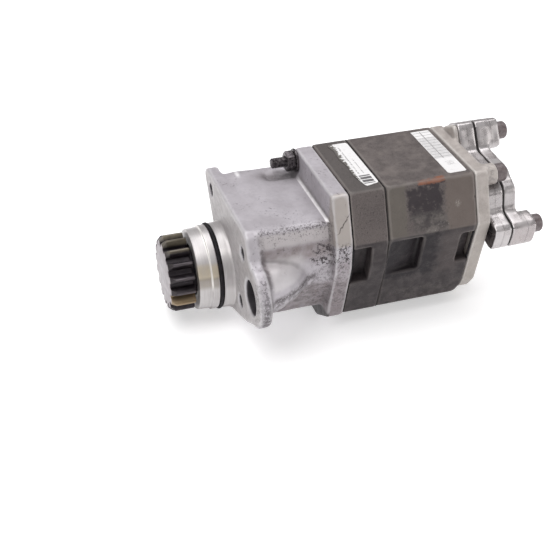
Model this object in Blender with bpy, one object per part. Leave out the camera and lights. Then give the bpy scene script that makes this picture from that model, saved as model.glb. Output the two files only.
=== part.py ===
"""Tandem hydraulic gear pump: adapter housing, two gear sections, rear port flanges."""
import math

import bpy
import bmesh
from mathutils import Matrix, Vector

# ---------------------------------------------------------------------------
# Driving dimensions in millimetres, pump frame: X along the drive shaft with
# zero on the mounting face, drive end towards -X, Y away, Z up, shaft at Y=Z=0.
# ---------------------------------------------------------------------------
MM = 0.001
ORIGIN_MM = (-111.5, 28.16, 48.0)     # pump frame zero, placed in the world

GAP = 0.3                              # air between neighbouring pieces
FLANGE_T = 11.5                        # mounting flange thickness
RIM_X0 = 78.0                          # front of the casting's rear rim
CASTING_X1 = 94.2                      # rear face of the adapter casting
BODY1_X = (94.5, 127.3)                # front gear body
GASKET_X = (127.4, 128.0)              # sheet gasket between the two bodies
BODY2_X = (128.1, 213.4)               # rear gear body
COVER_X = (213.7, 226.8)               # rear cover plate
PAD_X1 = 229.1                         # raised pad on the cover
SPACER_X = (229.4, 246.0)              # two-ear port spacer
PORT_GASKET_X = (246.15, 246.85)       # gasket between spacer and flange
PORT_X = (247.0, 259.0)                # hub of the two-ear port flange
EAR_X1 = 271.0                         # rear faces of its two thicker ears

TOP_Z = 98.0                           # top face of both gear bodies

IDLER = (-38.0, 41.0)                  # driven gear axis (Y, Z)
CENTRE_DISTANCE = math.hypot(*IDLER)
GEAR_TEETH = 12
GEAR_TIP_R = 31.9
GEAR_ROOT_R = 22.6
GEAR_PRESSURE_DEG = 28.0
GEAR_THINNING = 0.2                    # removed from each flank at the pitch line
CHAMBER_R = 32.5
BLOCK_R = 30.0
POCKET_R = 30.4
SHAFT_R = 15.0
SHAFT_BORE_R = 15.45
JOURNAL_R = 12.0
JOURNAL_BORE_R = 12.45
GEAR1_X = (95.0, 126.8)
GEAR2_X = (151.0, 187.4)
BLOCK_FRONT_X = (66.4, 93.9)
BLOCK_CENTRE_X = (128.6, 150.6)
BLOCK_REAR_X = (187.8, 212.9)

PINION_X = (-58.3, -35.4)
PINION_TEETH = 16
PINION_TIP_R = 36.0
PINION_ROOT_R = 27.4
PINION_PITCH_R = 32.0
PINION_PHASE_DEG = 1.5
PINION_PRESSURE_DEG = 20.0
PINION_THINNING = 0.35
PINION_HUB_R = 21.0
PINION_LEAD_R = 31.8                   # radius of its front face inside the lead-in chamfer
PINION_LEAD_LENGTH = 4.5
PINION_HUB_X1 = -27.6

PILOT_FRONT_X = -32.7
PILOT_FRONT_R = 37.9
PILOT_STEP_X = -20.8
PILOT_R = 39.7
GROOVE_X = (-14.3, -9.7)
GROOVE_R = 36.9
ORING_MINOR_R = 1.9
PILOT_ROOT_R = 41.0

SUCTION_PORT = (-86.0, 18.0)           # centre of the suction opening (Y, Z)
SUCTION_R = 16.0
LOBE_CENTRE = (-90.0, 21.5)            # rounded lobe of the flange around that opening
LOBE_R = 28.0
HORN = ((10.0, -86.0, 25.0, 23.5), (24.0, -84.0, 25.0, 21.5), (38.0, -80.5, 24.5, 17.5),
        (50.0, -75.5, 23.0, 11.5), (58.0, -68.0, 20.0, 8.0))
SUCTION_BEND = ((20.0, -78.0, 20.0, 12.5), (36.0, -64.0, 14.0, 10.5))
GALLERY = (-58.0, -1.0)                # inlet gallery through the sections
GALLERY_R = 12.0
FLANGE_HOLES = ((41.0, 57.2), (-61.8, 49.0), (-53.4, -7.3))
FLANGE_HOLE_R = 6.5
FLANGE_HOLE_DEPTH = 25.0

BOLT_R = 5.0
BOLT_HOLE_R = 5.5
BOLT_HEAD_R = 8.4
BOLT_NEAR_TOP = (-63.5, 89.2)
BOLT_FAR_BOTTOM = (34.5, -21.5)
BOLT_NEAR_BOTTOM = (-32.0, -30.0)
STUD_FAR_TOP = (22.0, 85.5)
DOWELS = ((40.0, 44.0), (-20.0, -38.5))
DOWEL_R = 4.0

PORT_CENTRE = (-40.0, 55.0)            # axis of the outlet in the rear castings
EAR_BOLTS = ((2.0, 95.2), (-81.0, 39.6))
PAD_SCREWS = ((-55.0, 71.0), (-25.0, 39.0))
NEAR_TOP_HEAD_X = 237.6                # seat of the long bolt on the cover's tall boss
LOW_HEAD_X = 232.3                     # seats of the two lower long bolts
RELIEF_R = 11.0                        # room for the tall boss beside the castings
OUTLET_R = 11.0
OUTLET_SEAT_R = 15.0
OUTLET_SEAT_DEPTH = 6.0
OUTLET_GALLERY = (-52.0, 81.0)
OUTLET_GALLERY_R = 6.0
OUTLET_GALLERY_X0 = 160.0
OUTLET_FEED_END = (-20.0, 62.0)        # outlet drilling ends in the gear chamber
OUTLET_FEED_R = 5.0
INLET_FEED = ((-56.0, 1.0), (-24.0, 12.0))
INLET_FEED_R = 9.0
GALLERY_END_X = 184.0

PAST = 2.0                             # how far cutters run out past a face
BOLT_BLIND_X = 81.0                    # bottom of the bolt holes in the casting
NUT_TROUGH_X0 = 48.0
NUT_TROUGH_R = 14.6
DOWEL_X = (86.4, 136.4)
HOUSING_BORE = ((-34.7, 24.4), (-17.4, 24.4), (-17.4, 20.4), (30.4, 20.4), (30.4, 17.0), (71.0, 17.0))
HOUSING_BUSH_X = (-16.6, 29.6)
HOUSING_BUSH_R = 20.0

POCKET_Z = (49.5, 10.5)                # top and bottom of the pockets in the slanted side
POCKET_DEPTH = 9.0
FRONT_POCKET_LENGTH = 17.5
MIDDLE_POCKET_X1 = 162.0
MIDDLE_POCKET_RAMP = 7.5
REAR_POCKET_X0 = 199.5
REAR_POCKET_TOP_Z = 45.0

SEAL_GROOVE_INSET = 1.5
SEAL_GROOVE_WIDTH = 2.7
SEAL_GROOVE_DEPTH = 1.8
SEAL_INSET = 1.9
SEAL_WIDTH = 1.9
SEAL_HEIGHT = 1.4
RING_GROOVE_R = (13.0, 16.2)           # face groove for the outlet seal
RING_GROOVE_DEPTH = 2.0

TALL_BOSS_R = 9.8
LOW_BOSS_R = 11.0
COVER_RECESS_R = 12.0
COVER_RECESS_DEPTH = 5.0
PAD_SCREW_R = 3.0
PAD_SCREW_HEAD_R = 5.4
PAD_SCREW_SEAT_DEPTH = 8.0
PAD_SCREW_TIP_X = 217.2
BOLT_HEAD_LENGTH = 10.0
BOLT_SOCKET_FLATS = 8.0
BOLT_SOCKET_DEPTH = 5.2
BOLT_TIP_X = 82.0
PORT_BOLT_TIP_X = 236.0

STUD_X = (53.5, 224.0)
NUT_FLATS = 17.0
NUT_X = (67.4, 75.4)
WASHER_X = (75.6, 77.7)
WASHER_R = 11.0

KEY_HALF_WIDTH = 2.4
KEY_Z = (12.5, 16.9)
KEY_SPANS = {"pinion": (-48.0, -34.0), "front": (104.0, 118.0), "rear": (162.0, 176.0)}
SHAFT_SPAN = (-50.4, 206.2)
SHAFT_CHAMFER = 1.2

BODY_OUTLINE = ((-72.0, 98.0), (-88.0, 54.0), (-68.5, -30.5), (-42.0, -48.0),
                (28.0, -48.0), (52.0, -22.0), (52.0, 64.0), (24.0, 98.0))
BODY1_OUTLINE = ((-72.0, 98.0), (-88.0, 54.0), (-86.2, 28.0), (-69.0, -30.5),
                 (-42.0, -48.0), (28.0, -48.0), (52.0, -22.0), (52.0, 64.0),
                 (24.0, 98.0))
RIM_OUTLINE = ((-72.6, 97.4), (-88.0, 55.0), (-87.0, 28.0), (-70.0, -31.6),
               (-42.5, -48.0), (28.0, -48.0), (52.0, -22.0), (52.0, 63.0),
               (24.0, 97.4))
CASTING_OUTLINE = ((-72.0, 73.7), (-80.0, 52.0), (-80.0, 16.0), (-60.0, -23.0),
                   (-32.0, -38.0), (26.0, -38.0), (46.0, -18.0), (46.0, 62.0),
                   (40.0, 73.7))
UPPER_EAR = ((-15.0, 87.0), (-1.0, 111.7), (22.0, 99.6), (8.0, 72.0))
LOWER_EAR = ((-64.0, 28.5), (-89.5, 21.5), (-96.2, 48.0), (-73.5, 53.6))
HUB_NEAR = ((-70.0, 73.0), (-50.0, 85.5))
HUB_FAR = ((-6.0, 46.0), (-20.0, 27.0), (-45.0, 22.0))
PORT_OUTLINE = UPPER_EAR + HUB_FAR + LOWER_EAR + HUB_NEAR
PAD_OUTLINE = UPPER_EAR + HUB_FAR + ((-64.0, 30.5), (-72.5, 56.0)) + HUB_NEAR
COVER_OUTLINE = ((-72.0, 98.0), (-88.0, 54.0), (-70.5, -18.5), (-61.0, -31.5),
                 (-44.0, -42.0), (28.0, -42.0), (52.0, -18.0), (52.0, 64.0),
                 (24.0, 98.0))
REAR_CORNER = (((190.0, -72.0, -37.0), (190.2, -72.2, -37.2), (190.0, -72.2, -37.4)),
               ((216.0, -78.0, -8.0), (216.0, -90.0, -60.0), (216.0, -46.0, -53.0)))
LABEL_FRONT = ((106.4, 15.0), (108.6, 4.0), (107.6, -12.0), (109.8, -28.0), (108.8, -44.0), (112.6, -63.0),
               (114.0, -64.6), (124.6, -62.0), (125.8, -60.0), (125.6, 14.0), (124.4, 16.6), (108.0, 16.8))
LABEL_REAR = ((190.6, 17.0), (190.6, -64.4), (192.2, -66.0), (207.0, -66.0), (208.6, -64.4), (208.6, 17.0))
LABEL_Z = (TOP_Z + 0.15, TOP_Z + 0.55)


# ---------------------------------------------------------------------------
# Materials and object helpers
# ---------------------------------------------------------------------------
def clear_scene():
    for old in list(bpy.data.objects):
        bpy.data.objects.remove(old, do_unlink=True)


def new_collection(name):
    group = bpy.data.collections.new(name)
    bpy.context.scene.collection.children.link(group)
    return group


def material(name, rgb, metallic, roughness):
    made = bpy.data.materials.new(name)
    made.use_nodes = True
    shader = made.node_tree.nodes["Principled BSDF"]
    shader.inputs["Base Color"].default_value = (rgb[0], rgb[1], rgb[2], 1.0)
    shader.inputs["Metallic"].default_value = metallic
    shader.inputs["Roughness"].default_value = roughness
    return made


def world(x, y, z):
    return Vector(((x + ORIGIN_MM[0]) * MM, (y + ORIGIN_MM[1]) * MM, (z + ORIGIN_MM[2]) * MM))


def object_from(name, bm, group, axis=(0.0, 0.0)):
    """Make an object whose origin sits on the X-wise line through axis (Y, Z)."""
    bmesh.ops.recalc_face_normals(bm, faces=bm.faces)
    bmesh.ops.translate(bm, verts=bm.verts, vec=(0.0, -axis[0], -axis[1]))
    bmesh.ops.scale(bm, verts=bm.verts, vec=(MM, MM, MM))
    mesh = bpy.data.meshes.new(name)
    bm.to_mesh(mesh)
    bm.free()
    made = bpy.data.objects.new(name, mesh)
    made.location = world(0.0, axis[0], axis[1])
    group.objects.link(made)
    return made


def part(name, bm, look, axis=(0.0, 0.0)):
    made = object_from(name, bm, PARTS, axis)
    made.data.materials.append(material("mat_" + name, *look))
    return made


def tool(name, bm):
    made = object_from("cut_" + name, bm, CUTTERS)
    made.hide_render = True
    made.display_type = "WIRE"
    return made


def combine(target, other, operation):
    step = target.modifiers.new(other.name, "BOOLEAN")
    step.operation = operation
    step.solver = "EXACT"
    step.object = other


def cut(target, name, bm):
    combine(target, tool(target.name + "_" + name, bm), "DIFFERENCE")


def add(target, name, bm):
    combine(target, tool(target.name + "_" + name, bm), "UNION")


# ---------------------------------------------------------------------------
# Mesh builders, all in pump-frame millimetres
# ---------------------------------------------------------------------------
def prism(outline, x0, x1):
    """Flat outline of (y, z) points, extruded along X."""
    bm = bmesh.new()
    face = bm.faces.new([bm.verts.new((x0, y, z)) for y, z in outline])
    grown = bmesh.ops.extrude_face_region(bm, geom=[face])
    moved = [item for item in grown["geom"] if isinstance(item, bmesh.types.BMVert)]
    bmesh.ops.translate(bm, verts=moved, vec=(x1 - x0, 0.0, 0.0))
    return bm


def box(x0, x1, y0, y1, z0, z1):
    middle = Matrix.Translation(((x0 + x1) / 2.0, (y0 + y1) / 2.0, (z0 + z1) / 2.0))
    bm = bmesh.new()
    bmesh.ops.create_cube(bm, size=1.0, matrix=middle @ Matrix.Diagonal((x1 - x0, y1 - y0, z1 - z0, 1.0)))
    return bm


def rod(centre, radius, x0, x1, count=24):
    middle = Matrix.Translation(((x0 + x1) / 2.0, centre[0], centre[1]))
    bm = bmesh.new()
    bmesh.ops.create_cone(bm, cap_ends=True, segments=count, radius1=radius, radius2=radius,
                          depth=x1 - x0, matrix=middle @ Matrix.Rotation(math.pi / 2.0, 4, "Y"))
    return bm


def hexagon(centre, across_flats, x0, x1):
    return rod(centre, across_flats / math.sqrt(3.0), x0, x1, 6)


def spun(profile, centre, count, closed):
    """Spin a line of (x, radius) points about the X-wise line through centre."""
    bm = bmesh.new()
    verts = [bm.verts.new((x, centre[0] + radius, centre[1])) for x, radius in profile]
    pairs = list(zip(verts, verts[1:]))
    if closed:
        pairs.append((verts[-1], verts[0]))
    edges = [bm.edges.new(pair) for pair in pairs]
    bmesh.ops.spin(bm, geom=verts + edges, cent=(0.0, centre[0], centre[1]), axis=(1.0, 0.0, 0.0),
                   angle=2.0 * math.pi, steps=count, use_merge=True)
    return bm


def turned(profile, centre=(0.0, 0.0), count=48):
    """Solid of revolution with a flat cap at each end of its profile."""
    bm = spun(profile, centre, count, closed=False)
    rims = [edge for edge in bm.edges if edge.is_boundary]
    bmesh.ops.holes_fill(bm, edges=rims, sides=count)
    return bm


def turned_ring(profile, centre=(0.0, 0.0), count=48):
    """Ring of revolution from a closed profile."""
    return spun(profile, centre, count, closed=True)


def sleeve(centre, inner, outer, x0, x1, count=32):
    return turned_ring(((x0, inner), (x0, outer), (x1, outer), (x1, inner)), centre, count)


def circle(centre, radius, count, start=0.0):
    points = []
    for index in range(count):
        angle = start + 2.0 * math.pi * index / count
        points.append((centre[0] + radius * math.cos(angle), centre[1] + radius * math.sin(angle)))
    return points


def loft(rings, closed=False):
    """Skin equal-length rings whose shapes differ, capping the ends unless closed."""
    bm = bmesh.new()
    loops = [[bm.verts.new(point) for point in ring] for ring in rings]
    pairs = list(zip(loops, loops[1:]))
    if closed:
        pairs.append((loops[-1], loops[0]))
    for first, second in pairs:
        count = len(first)
        for index in range(count):
            after = (index + 1) % count
            bm.faces.new((first[index], first[after], second[after], second[index]))
    if not closed:
        bm.faces.new(loops[0])
        bm.faces.new(loops[-1])
    return bm


def cone(stations, count=28):
    """Skin circles given as (x, y, z, radius)."""
    return loft([[(x, p, q) for p, q in circle((y, z), r, count)] for x, y, z, r in stations])


def rounded(outline, radius, steps=2):
    """Replace each corner of a polygon by a short arc."""
    result = []
    count = len(outline)
    for index in range(count):
        here = Vector(outline[index])
        back = (Vector(outline[index - 1]) - here).normalized()
        ahead = (Vector(outline[(index + 1) % count]) - here).normalized()
        half = back.angle(ahead) / 2.0
        reach = radius / math.tan(half)
        start = here + back * reach
        end = here + ahead * reach
        for step in range(steps + 1):
            t = step / steps
            bend = start * (1 - t) ** 2 + here * 2 * t * (1 - t) + end * t ** 2
            result.append((bend.x, bend.y))
    return result


def figure_eight(first, second, radius, count=40):
    """Outline of two overlapping circles of one radius."""
    gap = Vector(second) - Vector(first)
    angle = math.atan2(gap.y, gap.x)
    half = math.acos(gap.length / 2.0 / radius)
    points = []
    for centre, base in ((first, angle), (second, angle + math.pi)):
        sweep = 2.0 * math.pi - 2.0 * half
        for index in range(count):
            turn = base + half + sweep * index / count
            points.append((centre[0] + radius * math.cos(turn), centre[1] + radius * math.sin(turn)))
    return points


def involute(angle):
    return math.tan(angle) - angle


def gear_outline(teeth, pitch_r, tip_r, root_r, pressure_deg, thinning, phase, centre):
    base_r = pitch_r * math.cos(math.radians(pressure_deg))
    start_r = max(base_r, root_r + 0.6)
    half_pitch = math.pi / (2 * teeth) - thinning / pitch_r
    half_pitch += involute(math.radians(pressure_deg))
    flank = []
    for step in range(4):
        radius = start_r + (tip_r - start_r) * step / 3.0
        flank.append((radius, half_pitch - involute(math.acos(min(1.0, base_r / radius)))))
    side = [(root_r, flank[0][1])] + flank
    points = []
    for tooth in range(teeth):
        middle = phase + 2.0 * math.pi * tooth / teeth
        for radius, half in side:
            points.append((radius, middle - half))
        for radius, half in reversed(side):
            points.append((radius, middle + half))
    return [(centre[0] + r * math.cos(a), centre[1] + r * math.sin(a)) for r, a in points]


def facet_box(x0, x1, z_top, z_bottom, depth, ramp=0.0):
    """Pocket cutter lying in the slanted near face, sunk by depth, open to the outside."""
    top = Vector(BODY_OUTLINE[1])
    low = Vector(BODY_OUTLINE[2])
    along = (low - top).normalized()
    inward = Vector((-along.y, along.x))
    if inward.x < 0:
        inward = -inward
    start = top + along * ((z_top - top.y) / along.y)
    end = top + along * ((z_bottom - top.y) / along.y)
    rings = []
    for x, sink in ((x0, depth - ramp), (x1, depth)):
        corners = (start - inward * 12, end - inward * 12, end + inward * sink, start + inward * sink)
        rings.append([(x, c.x, c.y) for c in corners])
    return loft(rings)


def shrunk(outline, factor):
    """The outline scaled about its middle."""
    middle_y = sum(p[0] for p in outline) / len(outline)
    middle_z = sum(p[1] for p in outline) / len(outline)
    return [(middle_y + (y - middle_y) * factor, middle_z + (z - middle_z) * factor) for y, z in outline]


def outline_ring(outline, inset, width, x0, x1):
    """Closed frame following an outline, inset from it."""
    middle = Vector((sum(p[0] for p in outline), sum(p[1] for p in outline))) / len(outline)
    rings = []
    for x, away in ((x0, inset), (x0, inset + width), (x1, inset + width), (x1, inset)):
        ring = []
        for point in outline:
            spoke = Vector(point) - middle
            near = middle + spoke * (1.0 - away / spoke.length)
            ring.append((x, near.x, near.y))
        rings.append(ring)
    return loft(rings, closed=True)


# ---------------------------------------------------------------------------
# Looks: base colour, metallic, roughness
# ---------------------------------------------------------------------------
CAST_ALUMINIUM = ((0.56, 0.54, 0.56), 0.55, 0.5)
BODY_GREY = ((0.13, 0.12, 0.115), 0.35, 0.55)
COVER_GREY = ((0.42, 0.39, 0.36), 0.4, 0.5)
FORGED = ((0.55, 0.53, 0.53), 0.8, 0.35)
STEEL = ((0.34, 0.33, 0.33), 0.9, 0.35)
BLACK_STEEL = ((0.03, 0.03, 0.032), 0.7, 0.45)
BOLT_STEEL = ((0.2, 0.17, 0.165), 0.7, 0.5)
BRONZE = ((0.46, 0.29, 0.12), 0.9, 0.35)
RUBBER = ((0.012, 0.011, 0.012), 0.0, 0.6)
GASKET_PAPER = ((0.05, 0.045, 0.045), 0.0, 0.8)
LABEL = ((0.82, 0.81, 0.8), 0.0, 0.5)


# ---------------------------------------------------------------------------
# Adapter casting
# ---------------------------------------------------------------------------
def flange_outline():
    lobe = []
    for step in range(13):
        turn = math.radians(85 + 177 * step / 12)
        lobe.append((LOBE_CENTRE[0] + LOBE_R * math.cos(turn), LOBE_CENTRE[1] + LOBE_R * math.sin(turn)))
    boss = []
    for step in range(9):
        turn = math.radians(-108 + 140 * step / 8)
        boss.append((PILOT_ROOT_R * math.cos(turn), PILOT_ROOT_R * math.sin(turn)))
    upper_near = [(-67.0, 73.7), (-73.5, 70.0), (-79.5, 60.0), (-82.0, 53.0)]
    upper_far = [(42.0, 33.0), (61.5, 63.0), (60.0, 70.0), (52.0, 73.7)]
    return upper_near + lobe + [(-71.5, -18.5), (-45.0, -28.5)] + boss + upper_far


def pilot_profile():
    return ((PILOT_FRONT_X, PILOT_FRONT_R - 0.8), (PILOT_FRONT_X + 0.8, PILOT_FRONT_R),
            (PILOT_STEP_X - 1.2, PILOT_FRONT_R + 0.5), (PILOT_STEP_X, PILOT_R),
            (GROOVE_X[0], PILOT_R), (GROOVE_X[0], GROOVE_R),
            (GROOVE_X[1], GROOVE_R), (GROOVE_X[1], PILOT_R + 0.3),
            (-3.0, PILOT_R + 0.6), (-0.8, PILOT_ROOT_R), (1.0, PILOT_ROOT_R))


def adapter_housing():
    body = part("adapter_housing", prism(flange_outline(), 0.0, FLANGE_T), CAST_ALUMINIUM)
    add(body, "barrel", prism(rounded(CASTING_OUTLINE, 5.0), FLANGE_T - 1.0, RIM_X0 + 2.0))
    add(body, "rim", prism(rounded(RIM_OUTLINE, 3.0), RIM_X0, CASTING_X1))
    add(body, "pilot", turned(pilot_profile(), count=36))
    add(body, "suction_horn", cone(HORN))
    way = ((-PAST,) + SUCTION_PORT + (SUCTION_R,), (9.0,) + SUCTION_PORT + (SUCTION_R,)) + SUCTION_BEND
    way += ((CASTING_X1 + PAST,) + GALLERY + (GALLERY_R,),)
    cut(body, "suction_way", cone(way))
    cut(body, "shaft_way", turned(HOUSING_BORE, count=28))
    pocket = figure_eight((0.0, 0.0), IDLER, POCKET_R, 22)
    cut(body, "block_pocket", prism(pocket, BLOCK_FRONT_X[0] - GAP, CASTING_X1 + PAST))
    for index, hole in enumerate(FLANGE_HOLES):
        cut(body, "flange_hole_%d" % index, rod(hole, FLANGE_HOLE_R, -PAST, FLANGE_HOLE_DEPTH, 16))
    for index, hole in enumerate((BOLT_NEAR_TOP, BOLT_FAR_BOTTOM, BOLT_NEAR_BOTTOM)):
        cut(body, "bolt_hole_%d" % index, rod(hole, BOLT_HOLE_R, BOLT_BLIND_X, CASTING_X1 + PAST, 16))
    cut(body, "stud_hole", rod(STUD_FAR_TOP, BOLT_HOLE_R, RIM_X0 - PAST, CASTING_X1 + PAST, 16))
    cut(body, "nut_trough", rod(STUD_FAR_TOP, NUT_TROUGH_R, NUT_TROUGH_X0, RIM_X0, 20))
    for index, hole in enumerate(DOWELS):
        cut(body, "dowel_hole_%d" % index, rod(hole, DOWEL_R + GAP, DOWEL_X[0] - GAP, CASTING_X1 + PAST, 12))
    return body


# ---------------------------------------------------------------------------
# Gear bodies, cover and port castings
# ---------------------------------------------------------------------------
def body_bolt_holes(body, x0, x1):
    for index, hole in enumerate((BOLT_NEAR_TOP, BOLT_FAR_BOTTOM, BOLT_NEAR_BOTTOM, STUD_FAR_TOP)):
        cut(body, "bolt_hole_%d" % index, rod(hole, BOLT_HOLE_R, x0 - PAST, x1 + PAST, 16))


def middle_of(span):
    return (span[0] + span[1]) / 2.0


def seal_groove(outline, x0, x1):
    return outline_ring(outline, SEAL_GROOVE_INSET, SEAL_GROOVE_WIDTH, x0, x1)


def feed_slot(start, end, x_middle, radius):
    """Drilling lying across the pump between two (Y, Z) points."""
    line = Vector((0.0, end[0] - start[0], end[1] - start[1]))
    side = Vector((1.0, 0.0, 0.0))
    other = line.normalized().cross(side)
    rings = []
    for point in (start, end):
        middle = Vector((x_middle, point[0], point[1]))
        ring = []
        for index in range(16):
            angle = 2.0 * math.pi * index / 16
            ring.append(middle + (side * math.cos(angle) + other * math.sin(angle)) * radius)
        rings.append(ring)
    return loft(rings)


def front_gear_body():
    x0, x1 = BODY1_X
    body = part("front_gear_body", prism(rounded(BODY1_OUTLINE, 1.6, 1), x0, x1), BODY_GREY)
    chamber = figure_eight((0.0, 0.0), IDLER, CHAMBER_R, 26)
    cut(body, "chamber", prism(chamber, x0 - PAST, x1 + PAST))
    cut(body, "gallery", rod(GALLERY, GALLERY_R, x0 - PAST, x1 + PAST, 20))
    cut(body, "inlet_slot", feed_slot(*INLET_FEED, middle_of(GEAR1_X), INLET_FEED_R))
    cut(body, "pocket", facet_box(x0 - PAST, x0 + FRONT_POCKET_LENGTH, *POCKET_Z, POCKET_DEPTH))
    body_bolt_holes(body, x0, x1)
    for index, hole in enumerate(DOWELS):
        cut(body, "dowel_hole_%d" % index, rod(hole, DOWEL_R + GAP, x0 - PAST, x1 + PAST, 12))
    cut(body, "seal_groove", seal_groove(BODY1_OUTLINE, x0 - PAST, x0 + SEAL_GROOVE_DEPTH))
    return body


def rear_gear_body():
    x0, x1 = BODY2_X
    body = part("rear_gear_body", prism(rounded(BODY_OUTLINE, 1.6, 1), x0, x1), BODY_GREY)
    chamber = figure_eight((0.0, 0.0), IDLER, CHAMBER_R, 26)
    cut(body, "chamber", prism(chamber, x0 - PAST, x1 + PAST))
    cut(body, "gallery", rod(GALLERY, GALLERY_R, x0 - PAST, GALLERY_END_X, 20))
    cut(body, "inlet_slot", feed_slot(*INLET_FEED, middle_of(GEAR2_X), INLET_FEED_R))
    cut(body, "outlet_gallery", rod(OUTLET_GALLERY, OUTLET_GALLERY_R, OUTLET_GALLERY_X0, x1 + PAST, 16))
    outlet = feed_slot(OUTLET_GALLERY, OUTLET_FEED_END, middle_of(GEAR2_X), OUTLET_FEED_R)
    cut(body, "outlet_slot", outlet)
    middle = facet_box(x0 + PAST, MIDDLE_POCKET_X1, *POCKET_Z, POCKET_DEPTH, MIDDLE_POCKET_RAMP)
    cut(body, "pocket_middle", middle)
    rear = facet_box(REAR_POCKET_X0, x1 + PAST, REAR_POCKET_TOP_Z, POCKET_Z[1], POCKET_DEPTH)
    cut(body, "pocket_rear", rear)
    cut(body, "rear_corner", loft(REAR_CORNER))
    body_bolt_holes(body, x0, x1)
    for index, hole in enumerate(DOWELS):
        cut(body, "dowel_hole_%d" % index, rod(hole, DOWEL_R + GAP, x0 - PAST, DOWEL_X[1] + GAP, 12))
    cut(body, "seal_groove", seal_groove(COVER_OUTLINE, x1 - SEAL_GROOVE_DEPTH, x1 + PAST))
    return body


def rear_cover():
    x0, x1 = COVER_X
    body = part("rear_cover", prism(rounded(COVER_OUTLINE, 2.4, 1), x0, x1), COVER_GREY)
    add(body, "pad", prism(rounded(shrunk(PAD_OUTLINE, 0.97), 6.0), x1 - PAST, PAD_X1))
    add(body, "tall_boss", rod(BOLT_NEAR_TOP, TALL_BOSS_R, x1 - PAST, NEAR_TOP_HEAD_X - GAP, 20))
    add(body, "lower_boss", rod(BOLT_FAR_BOTTOM, LOW_BOSS_R, x1 - PAST, LOW_HEAD_X - GAP, 20))
    add(body, "side_boss", rod(BOLT_NEAR_BOTTOM, LOW_BOSS_R, x1 - PAST, LOW_HEAD_X - GAP, 20))
    way = ((x0 - PAST, -47.0, 76.0, 8.0), (x1 - 4.0, -42.0, 62.0, 9.5),
           (PAD_X1 + PAST,) + PORT_CENTRE + (OUTLET_R,))
    cut(body, "outlet", cone(way, 20))
    for index, hole in enumerate((BOLT_NEAR_TOP, BOLT_FAR_BOTTOM, BOLT_NEAR_BOTTOM)):
        cut(body, "bolt_hole_%d" % index, rod(hole, BOLT_HOLE_R, x0 - PAST, NEAR_TOP_HEAD_X + PAST, 16))
    cut(body, "stud_hole", rod(STUD_FAR_TOP, BOLT_HOLE_R, x0 - PAST, STUD_X[1] + 1.0, 16))
    for index, spot in enumerate(PAD_SCREWS):
        hole = rod(spot, PAD_SCREW_R + GAP, PAD_SCREW_TIP_X - 0.5, PAD_X1 + PAST, 12)
        cut(body, "screw_hole_%d" % index, hole)
    cut(body, "shaft_end", rod((0, 0), COVER_RECESS_R, x0 - PAST, x0 + COVER_RECESS_DEPTH, 20))
    return body


def port_spacer():
    x0, x1 = SPACER_X
    body = part("port_spacer", prism(rounded(PORT_OUTLINE, 7.0), x0, x1), FORGED)
    cut(body, "outlet", rod(PORT_CENTRE, OUTLET_R, x0 - PAST, x1 + PAST, 24))
    cut(body, "ring_groove", sleeve(PORT_CENTRE, *RING_GROOVE_R, x0 - PAST, x0 + RING_GROOVE_DEPTH, 24))
    cut(body, "bolt_relief", rod(BOLT_NEAR_TOP, RELIEF_R, x0 - PAST, x1 + PAST, 24))
    for index, spot in enumerate(EAR_BOLTS):
        cut(body, "ear_hole_%d" % index, rod(spot, BOLT_HOLE_R, PORT_BOLT_TIP_X - 1.0, x1 + PAST, 16))
    for index, spot in enumerate(PAD_SCREWS):
        cut(body, "screw_hole_%d" % index, rod(spot, PAD_SCREW_R + 2.0 * GAP, x0 - PAST, x1 + PAST, 12))
        seat = rod(spot, PAD_SCREW_HEAD_R + 2.0 * GAP, x1 - PAD_SCREW_SEAT_DEPTH, x1 + PAST, 16)
        cut(body, "screw_seat_%d" % index, seat)
    return body


def port_flange():
    x0, x1 = PORT_X
    body = part("port_flange", prism(rounded(PORT_OUTLINE, 7.0), x0, x1), FORGED)
    for name, ear in (("upper", UPPER_EAR), ("lower", LOWER_EAR)):
        add(body, name + "_ear", prism(rounded(shrunk(ear, 0.985), 7.0), x0 + 3.0, EAR_X1))
    cut(body, "outlet", rod(PORT_CENTRE, OUTLET_R, x0 - PAST, x1 + PAST, 24))
    cut(body, "port_seat", rod(PORT_CENTRE, OUTLET_SEAT_R, x1 - OUTLET_SEAT_DEPTH, x1 + PAST, 28))
    cut(body, "bolt_relief", rod(BOLT_NEAR_TOP, RELIEF_R, x0 - PAST, x1 + PAST, 24))
    for index, spot in enumerate(EAR_BOLTS):
        cut(body, "ear_hole_%d" % index, rod(spot, BOLT_HOLE_R, x0 - PAST, EAR_X1 + PAST, 16))
    return body


def port_gasket():
    x0, x1 = PORT_GASKET_X
    body = part("port_gasket", prism(rounded(shrunk(PORT_OUTLINE, 0.985), 7.0), x0, x1), GASKET_PAPER)
    cut(body, "outlet", rod(PORT_CENTRE, OUTLET_R + 1.0, x0 - PAST, x1 + PAST, 24))
    cut(body, "bolt_relief", rod(BOLT_NEAR_TOP, RELIEF_R + 2.0 * GAP, x0 - PAST, x1 + PAST, 24))
    for index, spot in enumerate(EAR_BOLTS):
        cut(body, "ear_hole_%d" % index, rod(spot, BOLT_HOLE_R + GAP, x0 - PAST, x1 + PAST, 16))
    for index, spot in enumerate(PAD_SCREWS):
        cut(body, "screw_clear_%d" % index, rod(spot, PAD_SCREW_HEAD_R + 3.0 * GAP, x0 - PAST, x1 + PAST, 12))
    return body


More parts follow.
